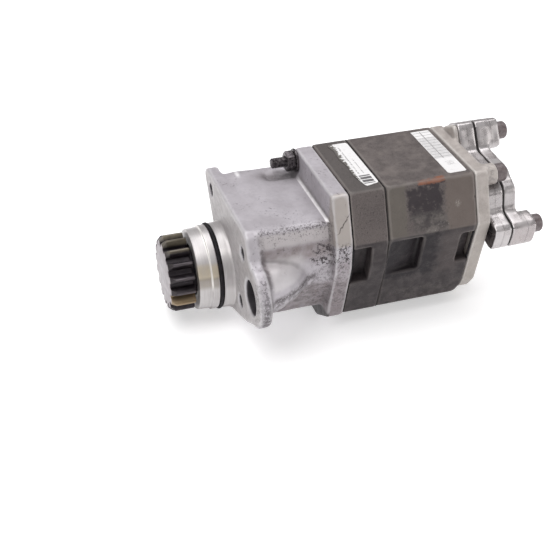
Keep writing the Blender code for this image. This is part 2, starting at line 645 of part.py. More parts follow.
# ---------------------------------------------------------------------------
# Rotating group
# ---------------------------------------------------------------------------
def pump_gear(name, centre, phase, span, bore):
    outline = gear_outline(GEAR_TEETH, CENTRE_DISTANCE / 2.0, GEAR_TIP_R, GEAR_ROOT_R,
                           GEAR_PRESSURE_DEG, GEAR_THINNING, phase, centre)
    gear = part(name, prism(outline, *span), STEEL, centre)
    if bore:
        cut(gear, "bore", rod(centre, bore, span[0] - PAST, span[1] + PAST, 24))
    return gear


def mesh_angle():
    return math.atan2(IDLER[1], IDLER[0])


def idler_phase():
    return mesh_angle() + math.pi + math.pi / GEAR_TEETH


def idler(name, span, journal_x):
    gear = pump_gear(name, IDLER, idler_phase(), span, 0.0)
    add(gear, "journal", rod(IDLER, JOURNAL_R, journal_x[0], journal_x[1], 24))
    return gear


def drive_shaft():
    x0, x1 = SHAFT_SPAN
    full_r = SHAFT_R - GAP
    profile = ((x0, full_r - SHAFT_CHAMFER), (x0 + SHAFT_CHAMFER, full_r), (x1 - SHAFT_CHAMFER, full_r),
               (x1, full_r - SHAFT_CHAMFER))
    shaft = part("drive_shaft", turned(profile, count=28), STEEL)
    half = KEY_HALF_WIDTH + GAP
    for name, span in KEY_SPANS.items():
        cut(shaft, "keyway_" + name, box(span[0], span[1], -half, half, KEY_Z[0] - GAP, 20.0))
    return shaft


def gear_key(name, span):
    return part(name, box(span[0] + GAP, span[1] - GAP, -KEY_HALF_WIDTH, KEY_HALF_WIDTH, *KEY_Z), STEEL)


def hub_keyway(x0, x1):
    half = KEY_HALF_WIDTH + 0.4
    return box(x0, x1, -half, half, KEY_Z[0] - 2.5, KEY_Z[1] + 0.5)


def coupling_pinion():
    outline = gear_outline(PINION_TEETH, PINION_PITCH_R, PINION_TIP_R, PINION_ROOT_R, PINION_PRESSURE_DEG,
                           PINION_THINNING, math.radians(PINION_PHASE_DEG), (0.0, 0.0))
    x0, x1 = PINION_X
    pinion = part("coupling_pinion", prism(outline, x0, x1), STEEL)
    slope = (PINION_TIP_R - PINION_LEAD_R) / PINION_LEAD_LENGTH
    lead = ((x0 - 1.0, PINION_LEAD_R - slope), (x0 + PINION_LEAD_LENGTH, PINION_TIP_R),
            (x1 + 1.0, PINION_TIP_R + GAP))
    combine(pinion, tool("coupling_pinion_lead_in", turned(lead)), "INTERSECT")
    add(pinion, "hub", rod((0, 0), PINION_HUB_R, x1 - 3.0, PINION_HUB_X1, 28))
    cut(pinion, "bore", rod((0, 0), SHAFT_R + 0.1, SHAFT_SPAN[0] - 0.4, PINION_HUB_X1 + PAST, 28))
    cut(pinion, "keyway", hub_keyway(KEY_SPANS["pinion"][0] - 0.4, PINION_HUB_X1 + PAST))
    return pinion


def drive_gear(name, span):
    gear = pump_gear(name, (0.0, 0.0), mesh_angle(), span, SHAFT_R + 0.1)
    cut(gear, "keyway", hub_keyway(span[0] - PAST, span[1] + PAST))
    return gear


def bearing_block(name, span):
    body = part(name, prism(figure_eight((0.0, 0.0), IDLER, BLOCK_R, 24), *span), BRONZE)
    cut(body, "shaft_hole", rod((0, 0), SHAFT_BORE_R, span[0] - PAST, span[1] + PAST, 28))
    cut(body, "journal_hole", rod(IDLER, JOURNAL_BORE_R, span[0] - PAST, span[1] + PAST, 24))
    return body


# ---------------------------------------------------------------------------
# Seals, fasteners, labels
# ---------------------------------------------------------------------------
def pilot_oring():
    middle_x = (GROOVE_X[0] + GROOVE_X[1]) / 2.0
    middle_r = GROOVE_R + ORING_MINOR_R + 0.2
    profile = []
    for x, r in circle((middle_x, middle_r), ORING_MINOR_R, 6, 0.0):
        profile.append((x, r))
    return part("pilot_oring", turned_ring(profile, count=40), RUBBER)


def shaft_seal():
    profile = ((-26.8, 18.0), (-26.8, 24.0), (-17.8, 24.0), (-17.8, 17.0), (-19.4, 17.0),
               (-20.6, 15.3), (-22.4, 15.3), (-23.6, 18.0))
    return part("shaft_seal", turned_ring(profile, count=32), RUBBER)


def centre_gasket():
    x0, x1 = GASKET_X
    body = part("centre_gasket", prism(rounded(BODY_OUTLINE, 1.6, 1), x0, x1), GASKET_PAPER)
    cut(body, "chamber", prism(figure_eight((0.0, 0.0), IDLER, CHAMBER_R + 1.0, 24), x0 - PAST, x1 + PAST))
    cut(body, "gallery", rod(GALLERY, GALLERY_R, x0 - PAST, x1 + PAST, 16))
    cut(body, "pocket", facet_box(x0 - PAST, x1 + PAST, *POCKET_Z, 4.0))
    for index, hole in enumerate((BOLT_NEAR_TOP, BOLT_FAR_BOTTOM, BOLT_NEAR_BOTTOM, STUD_FAR_TOP)):
        cut(body, "bolt_hole_%d" % index, rod(hole, BOLT_HOLE_R + GAP, x0 - PAST, x1 + PAST, 12))
    for index, hole in enumerate(DOWELS):
        cut(body, "dowel_hole_%d" % index, rod(hole, DOWEL_R + 2.0 * GAP, x0 - PAST, x1 + PAST, 12))
    return body


def joint_seal(outline, x0):
    return outline_ring(outline, SEAL_INSET, SEAL_WIDTH, x0, x0 + SEAL_HEIGHT)


def body_seals():
    front = BODY1_X[0] + 0.1
    rear = BODY2_X[1] - 0.1
    outlet_x0 = SPACER_X[0] + 0.1
    part("front_joint_seal", joint_seal(BODY1_OUTLINE, front), RUBBER)
    part("rear_joint_seal", joint_seal(COVER_OUTLINE, rear - SEAL_HEIGHT), RUBBER)
    inner, outer = RING_GROOVE_R
    ring = sleeve(PORT_CENTRE, inner + 0.4, outer - 0.4, outlet_x0, outlet_x0 + SEAL_HEIGHT, 24)
    part("outlet_seal", ring, RUBBER)


def cap_bolt(name, centre, head_x, shank_end):
    """Cap screw along X, head seated at head_x and shank reaching back to shank_end."""
    top_x = head_x + BOLT_HEAD_LENGTH
    profile = ((shank_end, BOLT_R - 0.8), (shank_end + 1.0, BOLT_R), (head_x, BOLT_R),
               (head_x, BOLT_HEAD_R), (top_x - 1.2, BOLT_HEAD_R), (top_x, BOLT_HEAD_R - 1.2))
    bolt = part(name, turned(profile, centre, 20), BOLT_STEEL)
    cut(bolt, "socket", hexagon(centre, BOLT_SOCKET_FLATS, top_x - BOLT_SOCKET_DEPTH, top_x + PAST))
    return bolt


def pad_cap_screw(name, centre):
    seat = SPACER_X[1] - PAD_SCREW_SEAT_DEPTH + 0.2
    profile = ((PAD_SCREW_TIP_X, PAD_SCREW_R), (seat, PAD_SCREW_R), (seat, PAD_SCREW_HEAD_R),
               (seat + 5.6, PAD_SCREW_HEAD_R))
    return part(name, turned(profile, centre, 14), BLACK_STEEL)


def stud_set():
    x0, x1 = STUD_X
    profile = ((x0, BOLT_R - 1.0), (x0 + 1.2, BOLT_R), (x1 - 1.0, BOLT_R), (x1, BOLT_R - 1.0))
    part("tie_stud", turned(profile, STUD_FAR_TOP, 18), BLACK_STEEL)
    nut = part("stud_nut", hexagon(STUD_FAR_TOP, NUT_FLATS, *NUT_X), BLACK_STEEL)
    cut(nut, "bore", rod(STUD_FAR_TOP, BOLT_R + 0.15, NUT_X[0] - PAST, NUT_X[1] + PAST, 18))
    part("stud_washer", sleeve(STUD_FAR_TOP, BOLT_R + 0.4, WASHER_R, *WASHER_X, 24), BLACK_STEEL)


def label_plate(name, corners):
    """Thin label resting on the top face, corners given as (X, Y)."""
    return part(name, loft([[(x, y, z) for x, y in corners] for z in LABEL_Z]), LABEL)


def fasteners():
    cap_bolt("body_bolt_near_top", BOLT_NEAR_TOP, NEAR_TOP_HEAD_X, BOLT_TIP_X)
    cap_bolt("body_bolt_far_bottom", BOLT_FAR_BOTTOM, LOW_HEAD_X, BOLT_TIP_X)
    cap_bolt("body_bolt_near_bottom", BOLT_NEAR_BOTTOM, LOW_HEAD_X, BOLT_TIP_X)
    cap_bolt("port_bolt_upper", EAR_BOLTS[0], EAR_X1 + GAP, PORT_BOLT_TIP_X)
    cap_bolt("port_bolt_lower", EAR_BOLTS[1], EAR_X1 + GAP, PORT_BOLT_TIP_X)
    pad_cap_screw("pad_screw_upper", PAD_SCREWS[0])
    pad_cap_screw("pad_screw_lower", PAD_SCREWS[1])
    stud_set()
    for index, hole in enumerate(DOWELS):
        part("dowel_pin_%d" % (index + 1), rod(hole, DOWEL_R - 0.1, *DOWEL_X, 14), STEEL)


def labels():
    label_plate("label_front", LABEL_FRONT)
    label_plate("label_rear", LABEL_REAR)


def rotating_group():
    drive_shaft()
    coupling_pinion()
    gear_key("pinion_key", KEY_SPANS["pinion"])
    gear_key("gear_key_front", KEY_SPANS["front"])
    gear_key("gear_key_rear", KEY_SPANS["rear"])
    drive_gear("drive_gear_front", GEAR1_X)
    drive_gear("drive_gear_rear", GEAR2_X)
    idler("idler_gear_front", GEAR1_X, (67.6, 138.6))
    idler("idler_gear_rear", GEAR2_X, (139.4, 211.6))


def main():
    adapter_housing()
    front_gear_body()
    rear_gear_body()
    rear_cover()
    port_spacer()
    port_flange()
    port_gasket()
    rotating_group()
    bearing_block("bearing_block_front", BLOCK_FRONT_X)
    bearing_block("bearing_block_centre", BLOCK_CENTRE_X)
    bearing_block("bearing_block_rear", BLOCK_REAR_X)
    part("front_bush", sleeve((0.0, 0.0), SHAFT_BORE_R, HOUSING_BUSH_R, *HOUSING_BUSH_X, 28), BRONZE)
    pilot_oring()
    shaft_seal()
    centre_gasket()
    body_seals()
    fasteners()
    labels()


clear_scene()
PARTS = new_collection("hydraulic_gear_pump")
CUTTERS = new_collection("cutters")
main()
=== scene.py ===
"""Looks of the tandem hydraulic gear pump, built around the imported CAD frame."""

import math

import bmesh
import bpy
import numpy as np
from mathutils import Matrix, Vector, noise


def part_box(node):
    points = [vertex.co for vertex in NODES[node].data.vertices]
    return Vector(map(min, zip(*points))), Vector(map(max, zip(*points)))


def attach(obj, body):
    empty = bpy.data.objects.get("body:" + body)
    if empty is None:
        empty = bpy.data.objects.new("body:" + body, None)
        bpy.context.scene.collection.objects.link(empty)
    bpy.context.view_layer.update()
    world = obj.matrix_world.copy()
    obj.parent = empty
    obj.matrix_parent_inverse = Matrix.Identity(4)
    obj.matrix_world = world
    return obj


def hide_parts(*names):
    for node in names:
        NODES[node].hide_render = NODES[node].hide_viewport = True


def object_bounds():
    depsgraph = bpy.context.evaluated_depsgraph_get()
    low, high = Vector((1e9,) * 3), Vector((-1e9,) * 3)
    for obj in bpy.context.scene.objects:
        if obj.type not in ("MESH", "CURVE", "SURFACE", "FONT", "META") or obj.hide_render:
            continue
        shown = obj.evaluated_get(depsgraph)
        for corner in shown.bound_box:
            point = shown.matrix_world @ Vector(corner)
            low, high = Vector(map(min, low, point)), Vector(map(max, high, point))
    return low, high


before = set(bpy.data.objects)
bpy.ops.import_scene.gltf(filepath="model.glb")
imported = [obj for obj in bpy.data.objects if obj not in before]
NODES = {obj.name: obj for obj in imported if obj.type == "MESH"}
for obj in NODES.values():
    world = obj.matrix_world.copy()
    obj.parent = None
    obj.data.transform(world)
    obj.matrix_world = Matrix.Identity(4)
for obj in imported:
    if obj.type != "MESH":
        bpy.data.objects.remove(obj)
CAD_LOW, CAD_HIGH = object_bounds()

MM = 0.001
SHAFT_FRONT_X = -50.4  # front end of the drive shaft, in pump millimetres


def pump_zero():
    """Mounting face on the shaft axis, read from the drive shaft's box."""
    low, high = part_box("drive_shaft")
    return Vector((low.x - SHAFT_FRONT_X * MM, (low.y + high.y) / 2, (low.z + high.z) / 2))


ZERO = pump_zero()
ZERO_MM = np.array(ZERO) / MM


# ---- Shader graphs in pump millimetres ----
class Surface:
    """A Principled material whose textures are laid out in pump millimetres."""

    def __init__(self, name, metallic, roughness, shine=0.5):
        self.material = bpy.data.materials.new(name)
        self.material.use_nodes = True
        self.tree = self.material.node_tree
        self.tree.nodes.clear()
        self.shader = self.tree.nodes.new("ShaderNodeBsdfPrincipled")
        output = self.tree.nodes.new("ShaderNodeOutputMaterial")
        self.tree.links.new(self.shader.outputs[0], output.inputs["Surface"])
        values = {"Metallic": metallic, "Roughness": roughness, "Specular IOR Level": shine}
        for socket, value in values.items():
            self.shader.inputs[socket].default_value = value
        where = self.tree.nodes.new("ShaderNodeTexCoord")
        scaled = self.vector("MULTIPLY", where.outputs["Object"], (1 / MM, 1 / MM, 1 / MM))
        self.mm = self.vector("SUBTRACT", scaled, tuple(ZERO_MM))
        self.parts = self.tree.nodes.new("ShaderNodeSeparateXYZ")
        self.put(self.parts.inputs[0], self.mm)
        self.base = None

    def put(self, socket, value):
        if isinstance(value, bpy.types.NodeSocket):
            self.tree.links.new(value, socket)
        elif isinstance(value, tuple) and len(value) == 3 and socket.type == "RGBA":
            socket.default_value = value + (1.0,)
        else:
            socket.default_value = value

    def vector(self, operation, first, second):
        made = self.tree.nodes.new("ShaderNodeVectorMath")
        made.operation = operation
        self.put(made.inputs[0], first)
        self.put(made.inputs[1], second)
        return made.outputs[0]

    def math(self, operation, first, second=0.0, clamp=False):
        made = self.tree.nodes.new("ShaderNodeMath")
        made.operation = operation
        made.use_clamp = clamp
        self.put(made.inputs[0], first)
        self.put(made.inputs[1], second)
        return made.outputs[0]

    def axis(self, letter):
        return self.parts.outputs[letter]

    def noise(self, size, detail=3.0, rough=0.55, stretch=None):
        place = self.vector("MULTIPLY", self.mm, stretch) if stretch else self.mm
        made = self.tree.nodes.new("ShaderNodeTexNoise")
        self.put(made.inputs["Vector"], place)
        made.inputs["Scale"].default_value = 1.0 / size
        made.inputs["Detail"].default_value = detail
        made.inputs["Roughness"].default_value = rough
        return made.outputs["Fac"]

    def step(self, value, low, high, start=0.0, end=1.0):
        """Smooth change from start to end as value goes from low to high."""
        made = self.tree.nodes.new("ShaderNodeMapRange")
        made.interpolation_type = "SMOOTHSTEP"
        flip = high < low
        self.put(made.inputs["Value"], value)
        limits = (min(low, high), max(low, high)) + ((end, start) if flip else (start, end))
        for name, limit in zip(("From Min", "From Max", "To Min", "To Max"), limits):
            made.inputs[name].default_value = limit
        return made.outputs[0]

    def x(self, low, high, start=0.0, end=1.0):
        return self.step(self.axis("X"), low, high, start, end)

    def y(self, low, high, start=0.0, end=1.0):
        return self.step(self.axis("Y"), low, high, start, end)

    def z(self, low, high, start=0.0, end=1.0):
        return self.step(self.axis("Z"), low, high, start, end)

    def line(self, value, centre, wide, narrow):
        """1 within narrow of the place where value (or an axis) is centre, fading to 0 at wide."""
        if isinstance(value, str):
            value = self.axis(value)
        return self.step(self.math("ABSOLUTE", self.math("SUBTRACT", value, centre)), wide, narrow)

    def wavy(self, swing, size, detail=3.0, rough=0.55):
        """Noise around zero, half of swing to either side at most."""
        return self.math("MULTIPLY", self.math("SUBTRACT", self.noise(size, detail, rough), 0.5), swing)

    def frayed(self, letter, size, reach):
        """An axis with noise added, for a ragged border."""
        return self.math("ADD", self.axis(letter), self.math("MULTIPLY", self.noise(size, 3.0), reach))

    def mix(self, share, first, second):
        made = self.tree.nodes.new("ShaderNodeMix")
        made.data_type = "RGBA"
        self.put(made.inputs[0], share)
        self.put(made.inputs[6], first)
        self.put(made.inputs[7], second)
        return made.outputs[2]

    def paint(self, colour, *shares):
        """Lay a colour over the base colour, as thick as the product of the shares."""
        self.base = self.mix(self.times(*shares), self.base, colour)

    def times(self, *values):
        """Product of shares, each kept between 0 and 1."""
        result = values[0]
        for value in values[1:]:
            result = self.math("MULTIPLY", result, value, clamp=True)
        return result

    def either(self, *values):
        """Largest of some shares."""
        result = values[0]
        for value in values[1:]:
            result = self.math("MAXIMUM", result, value)
        return result

    def zone(self, low, high, soft, ragged=0.0, size=6.0):
        """1 inside a box given by two corners (None for no limit), with a ragged soft edge."""
        shares = []
        shift = None
        if ragged:
            shift = self.wavy(ragged * 2.0, size)
        for letter, least, most in zip("XYZ", low, high):
            value = self.axis(letter)
            if shift is not None:
                value = self.math("ADD", value, shift)
            if least is not None:
                shares.append(self.step(value, least - soft, least + soft))
            if most is not None:
                shares.append(self.step(value, most + soft, most - soft))
        return self.times(*shares)

    def blob(self, centre, radii, hard=0.5):
        """1 at centre, fading to 0 at the surface of an ellipsoid."""
        away = self.vector("SUBTRACT", self.mm, centre)
        away = self.vector("DIVIDE", away, radii)
        made = self.tree.nodes.new("ShaderNodeVectorMath")
        made.operation = "LENGTH"
        self.put(made.inputs[0], away)
        return self.step(made.outputs["Value"], 1.0, hard)

    def radius(self, centre=(0.0, 0.0)):
        """Distance from an X-wise line through centre (Y, Z)."""
        y = self.math("SUBTRACT", self.axis("Y"), centre[0])
        z = self.math("SUBTRACT", self.axis("Z"), centre[1])
        squares = self.math("ADD", self.math("MULTIPLY", y, y), self.math("MULTIPLY", z, z))
        return self.math("SQRT", squares)

    def mark(self, name):
        """A value stored on the mesh by relief_marks."""
        made = self.tree.nodes.new("ShaderNodeAttribute")
        made.attribute_name = name
        return made.outputs["Fac"]

    def bump(self, *layers):
        """Stack bump layers given as (height, depth in mm, strength)."""
        normal = None
        for height, depth, strength in layers:
            made = self.tree.nodes.new("ShaderNodeBump")
            made.inputs["Distance"].default_value = depth * MM
            made.inputs["Strength"].default_value = strength
            self.put(made.inputs["Height"], height)
            if normal is not None:
                self.put(made.inputs["Normal"], normal)
            normal = made.outputs[0]
        self.put(self.shader.inputs["Normal"], normal)

    def finished(self, rough, *layers):
        self.put(self.shader.inputs["Base Color"], self.base)
        self.put(self.shader.inputs["Roughness"], rough)
        self.bump(*layers)
        return self.material


# ---- Mesh helpers ----
def in_world(points_mm):
    return (np.asarray(points_mm, float) + ZERO_MM) * MM


def read(items, key, width=3, kind=float):
    flat = np.zeros(len(items) * width, kind)
    items.foreach_get(key, flat)
    return flat.reshape(-1, width)


def positions(mesh):
    return read(mesh.vertices, "co") / MM - ZERO_MM


def set_positions(mesh, points):
    mesh.vertices.foreach_set("co", in_world(points).ravel())
    mesh.update()


def edges_of(mesh):
    return read(mesh.edges, "vertices", 2, int)


def normals_of(mesh):
    return read(mesh.vertices, "normal")


def averaged(points, edges, weight, rounds):
    """Move each point towards the mean of its neighbours by its own weight."""
    points = points.copy()
    first, second = edges[:, 0], edges[:, 1]
    count = np.bincount(edges.ravel(), minlength=len(points)).astype(float)
    for _ in range(rounds):
        mean = np.empty_like(points)
        for k in range(3):
            total = np.bincount(first, points[second, k], len(points))
            total += np.bincount(second, points[first, k], len(points))
            mean[:, k] = total / count
        points += weight[:, None] * (mean - points)
    return points


def linked(name, data):
    made = bpy.data.objects.new(name, data)
    bpy.context.scene.collection.objects.link(made)
    return made


def baked(obj):
    """Apply an object's modifiers to its own mesh."""
    bpy.context.view_layer.update()
    graph = bpy.context.evaluated_depsgraph_get()
    mesh = bpy.data.meshes.new_from_object(obj.evaluated_get(graph))
    old = obj.data
    obj.modifiers.clear()
    obj.data = mesh
    bpy.data.meshes.remove(old)
    return obj


def node_copy(name, node):
    mesh = NODES[node].data.copy()
    mesh.materials.clear()
    bm = bmesh.new()
    bm.from_mesh(mesh)
    bmesh.ops.remove_doubles(bm, verts=bm.verts, dist=1e-6)
    bm.to_mesh(mesh)
    bm.free()
    return linked(name, mesh)


def from_bm(name, bm):
    """Object from a bmesh drawn in pump millimetres."""
    bmesh.ops.recalc_face_normals(bm, faces=bm.faces)
    mesh = bpy.data.meshes.new(name)
    bm.to_mesh(mesh)
    bm.free()
    set_positions(mesh, read(mesh.vertices, "co"))
    return linked(name, mesh)


def combine(obj, other, operation):
    step = obj.modifiers.new("combine", "BOOLEAN")
    step.operation = operation
    step.solver = "EXACT"
    step.object = other
    baked(obj)
    bpy.data.objects.remove(other)
    return obj


def bevelled(obj, width, segments=2, angle=35.0):
    step = obj.modifiers.new("edges", "BEVEL")
    step.width = width * MM
    step.segments = segments
    step.limit_method = "ANGLE"
    step.angle_limit = math.radians(angle)
    return baked(obj)


def smooth(obj, angle=40.0):
    """Smooth shading with sharp edges above an angle."""
    obj.data.shade_smooth()
    bm = bmesh.new()
    bm.from_mesh(obj.data)
    for edge in bm.edges:
        edge.smooth = len(edge.link_faces) == 2 and edge.calc_face_angle(0.0) < math.radians(angle)
    bm.to_mesh(obj.data)
    bm.free()
    return obj


def ease(value, low, high):
    t = np.clip((value - low) / (high - low), 0.0, 1.0)
    return t * t * (3.0 - 2.0 * t)


def relief_marks(obj, rounds):
    """Store how far each point stands proud of (raised) or below (sunken) its surroundings."""
    mesh = obj.data
    points = positions(mesh)
    mean = averaged(points, edges_of(mesh), np.full(len(points), 0.6), rounds)
    proud = np.einsum("ij,ij->i", normals_of(mesh), points - mean)
    for name, value in (("raised", proud), ("sunken", -proud)):
        attribute = mesh.attributes.new(name, "FLOAT", "POINT")
        attribute.data.foreach_set("value", np.clip(value, 0.0, 2.0).astype(np.float32))


def casting(name, node, voxel, base, strong, mask, shape, before=None):
    """Remesh a CAD solid finely and round its edges, more where mask (0 to 1) says so."""
    obj = node_copy(name, node)
    if before:
        before(obj)
    step = obj.modifiers.new("voxels", "REMESH")
    step.mode = "VOXEL"
    step.voxel_size = voxel * MM
    baked(obj)
    points = positions(obj.data)
    edges = edges_of(obj.data)
    points = averaged(points, edges, np.full(len(points), 0.5), base)
    share = mask(points) if callable(mask) else np.full(len(points), mask)
    points = averaged(points, edges, 0.55 * share, strong)
    set_positions(obj.data, points)
    set_positions(obj.data, points + normals_of(obj.data) * shape(points)[:, None])
    relief_marks(obj, 14)
    obj.data.shade_smooth()
    return obj


def lumps(points, size, seed):
    """Smooth noise for each point, about -1 to 1."""
    shift = Vector((seed * 17.3, seed * 5.1, seed * 9.7))
    return np.array([noise.noise(Vector(p) / size + shift) for p in points])


def fitted(obj, body, node, look):
    """Give a sub-part its look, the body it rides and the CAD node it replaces."""
    obj.data.materials.append(look)
    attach(obj, body)
    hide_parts(node)


# ---- Turned and milled shapes, in pump millimetres ----
def turned(profile, centre=(0.0, 0.0), count=64, closed=False):
    """Solid of revolution about an X-wise line, from (x, radius) points."""
    bm = bmesh.new()
    verts = [bm.verts.new((x, centre[0] + radius, centre[1])) for x, radius in profile]
    pairs = list(zip(verts, verts[1:]))
    if closed:
        pairs.append((verts[-1], verts[0]))
    drawn = [bm.edges.new(pair) for pair in pairs]
    bmesh.ops.spin(bm, geom=verts + drawn, cent=(0.0, centre[0], centre[1]), axis=(1.0, 0.0, 0.0),
                   angle=2.0 * math.pi, steps=count, use_merge=True)
    if not closed:
        rims = [edge for edge in bm.edges if edge.is_boundary]
        bmesh.ops.holes_fill(bm, edges=rims, sides=count)
    return bm


def hexagon(centre, across_flats, x0, x1, turn=0.0):
    middle = Matrix.Translation(((x0 + x1) / 2.0, centre[0], centre[1]))
    radius = across_flats / math.sqrt(3.0)
    bm = bmesh.new()
    spin = Matrix.Rotation(turn, 4, "X") @ Matrix.Rotation(math.pi / 2.0, 4, "Y")
    bmesh.ops.create_cone(bm, cap_ends=True, segments=6, radius1=radius, radius2=radius,
                          depth=x1 - x0, matrix=middle @ spin)
    return bm


def centre_of(node):
    low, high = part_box(node)
    middle = (np.array((low + high) / 2) / MM) - ZERO_MM
    return middle[1], middle[2]


def span_of(node):
    low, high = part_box(node)
    return low.x / MM - ZERO_MM[0], high.x / MM - ZERO_MM[0]


# ---- Materials ----
RIM_FRONT_X, RIM_REAR_X = 78.0, 94.2  # rear rim of the adapter casting
SUCTION_CENTRE, SUCTION_R = (-86.0, 18.0), 16.0
FLANGE_HOLE_R = 6.5
# Centre (Y, Z) of each mounting hole, and the X down to which its inside is painted dark as shade.
FLANGE_HOLES = (((41.0, 57.2), 10.0), ((-61.8, 49.0), 27.0), ((-53.4, -7.3), 27.0))
CREASE_Z = 24.5  # dark crease along the horn
BODY_TOP_Z = 98.0  # painted shade line along the crease of the horn
LABEL_WHITE = (0.80, 0.79, 0.79)


def cast_ground(s, broad, middle, fine):
    """Blotchy grey of the sand casting, warmer on the milled mounting face."""
    s.base = s.mix(s.step(broad, 0.35, 0.65), (0.385, 0.36, 0.385), (0.47, 0.445, 0.475))
    s.paint((0.32, 0.30, 0.32), s.step(middle, 0.42, 0.7, 0.0, 0.4))
    s.paint((0.56, 0.545, 0.565), s.step(fine, 0.5, 0.75, 0.0, 0.22))
    streak = s.noise(4.0, 3.0, stretch=(1.0, 0.35, 1.0))
    face_tone = s.mix(s.step(streak, 0.3, 0.7), (0.36, 0.338, 0.335), (0.47, 0.448, 0.445))
    s.paint(face_tone, s.x(1.2, 0.2), 0.85)


def cast_near_wall(s, middle):
    """Pale upper band, brown middle and dark foot of the near wall; the dark foot is painted shade on the
    down-facing lower wall.
    """
    wall = s.times(s.y(-60.0, -72.0), s.x(10.0, 14.0), s.x(RIM_FRONT_X, RIM_FRONT_X - 2.0))
    pale = s.times(wall, s.z(72.0, 68.0), s.z(56.0, 61.0))
    s.paint((0.50, 0.465, 0.45), pale, 0.5)
    brown = s.times(wall, s.z(61.0, 56.0), s.z(36.0, 46.0), s.z(40.0, 50.0, 0.5, 1.0))
    s.paint((0.225, 0.19, 0.19), brown, s.step(middle, 0.3, 0.7, 0.6, 0.95))
    # painted shade: the down-facing foot of the near wall is darkened
    foot = s.times(s.y(-50.0, -62.0), s.x(18.0, 30.0), s.z(22.0, 12.0))
    s.paint((0.19, 0.16, 0.165), foot, s.step(middle, 0.3, 0.7, 0.6, 0.95))


def cast_rim_side(s, broad, middle):
    """Dark underside and beige patch on the near side of the rear rim. Returns its ragged X."""
    ragged = s.wavy(8.0, 5.0, 4.0, 0.6)
    across = s.math("ADD", s.axis("X"), s.math("MULTIPLY", ragged, 0.3))
    height = s.math("ADD", s.axis("Z"), ragged)
    under = s.times(s.x(RIM_FRONT_X - 2.0, RIM_FRONT_X + 1.0), s.y(-60.0, -66.0), s.z(44.0, 34.0))
    s.paint((0.25, 0.215, 0.225), under, s.step(middle, 0.3, 0.7, 0.5, 0.8))
    side = s.times(s.step(across, 75.0, 76.4), s.y(-66.0, -71.0), s.step(height, 53.5, 56.0))
    s.paint(s.mix(broad, (0.36, 0.325, 0.30), (0.43, 0.39, 0.36)), side, 0.9)
    return across


def cast_speckle(s):
    """Dark pits: dense along the near top edge, on the lower rim and on the lobe."""
    pits = s.step(s.noise(2.4, 3.0, 0.65), 0.57, 0.63)
    dense_pits = s.step(s.noise(2.9, 3.0, 0.7), 0.50, 0.57)
    fine_pits = s.step(s.noise(1.3, 2.0, 0.6), 0.6, 0.66)
    top_edge = s.zone((14.0, None, 63.0), (RIM_FRONT_X, -63.0, None), 3.0, 5.0)
    top_edge = s.times(top_edge, s.y(-60.0, -74.0, 0.2, 1.0))
    edge_line = s.zone((12.0, -82.0, 70.0), (RIM_FRONT_X, -69.5, 75.5), 1.2, 1.5, 3.0)
    edge_line = s.times(edge_line, s.step(s.noise(1.8, 3.0, 0.7), 0.5, 0.58))
    low_side = s.zone((60.0, None, 34.0), (96.0, -62.0, 56.0), 4.0, 9.0, 5.0)
    rim_low = s.times(s.zone((60.0, None, -20.0), (96.0, -58.0, 36.0), 4.0, 9.0), 0.45)
    rim_foot = s.zone((RIM_FRONT_X, None, None), (RIM_REAR_X + 0.8, None, 24.0), 3.0, 6.0)
    few = s.times(pits, s.step(s.noise(16.0, 2.0), 0.5, 0.62), 0.5)
    return s.either(
        s.times(top_edge, s.either(s.times(pits, 0.6), s.times(fine_pits, 0.6))),
        s.times(s.either(low_side, rim_low), s.either(dense_pits, fine_pits)),
        s.times(s.y(-96.0, -106.0), s.x(12.0, 8.0), dense_pits, 0.55),
        s.times(rim_foot, fine_pits, 0.4),
        s.times(edge_line, 0.8),
        few,
    )


def cast_horn(s, middle):
    """Bright horn behind the suction lobe (painted highlight), speckled painted shade below it and painted
    shade in the crease between.
    """
    # painted shade, speckled: the down-facing wall below the horn is darkened
    lower_wall_shade = s.zone((12.0, None, -8.0), (62.0, -62.0, 25.0), 4.0, 8.0, 5.0)
    lower_wall_shade = s.times(lower_wall_shade, s.step(s.noise(5.0, 5.0, 0.7), 0.42, 0.60))
    s.paint((0.10, 0.085, 0.088), lower_wall_shade, 0.7)
    # painted highlight: the lit top of the horn is lightened
    light = s.times(s.y(-76.0, -80.0), s.x(13.0, 17.0), s.x(56.0, 42.0), s.z(31.0, 35.0), s.z(54.0, 45.0))
    s.paint((0.66, 0.64, 0.645), light, 0.5)
    # painted shade along the crease between the horn and the wall below
    away = s.math("ADD", s.math("SUBTRACT", s.axis("Z"), CREASE_Z), s.wavy(9.0, 4.0, 4.0, 0.7))
    broken = s.step(s.noise(1.8, 4.0, 0.75), 0.36, 0.54, 0.25, 1.0)
    crease_shade = s.times(s.step(s.math("ABSOLUTE", away), 4.6, 0.6), broken,
                     s.x(13.0, 17.0), s.x(66.0, 58.0), s.y(-74.0, -79.0))
    s.paint((0.075, 0.062, 0.066), crease_shade, 0.86)
    lobe_foot = s.times(s.x(0.6, 1.4), s.x(15.0, 12.0), s.y(-100.0, -110.0), s.z(34.0, 26.0))
    s.paint((0.075, 0.064, 0.068), lobe_foot, s.step(s.noise(2.2, 5.0, 0.75), 0.36, 0.54), 0.85)
    # painted shade in the corner where the horn meets the back of the flange
    collar_shade = s.times(s.x(9.0, 12.5), s.x(18.0, 13.0), s.y(-66.0, -80.0))
    s.paint((0.14, 0.125, 0.13), collar_shade, s.step(middle, 0.4, 0.6, 0.25, 0.75))


def cast_dish_shade(s, middle):
    """Painted shade in the shallow dish before the nut."""
    # painted shade in the shallow dish
    dish = s.times(s.blob((58.0, 23.0, 72.0), (30.0, 14.0, 8.0), 0.15), s.step(middle, 0.3, 0.6, 0.6, 1.0))
    s.paint((0.155, 0.136, 0.142), dish, 0.85)


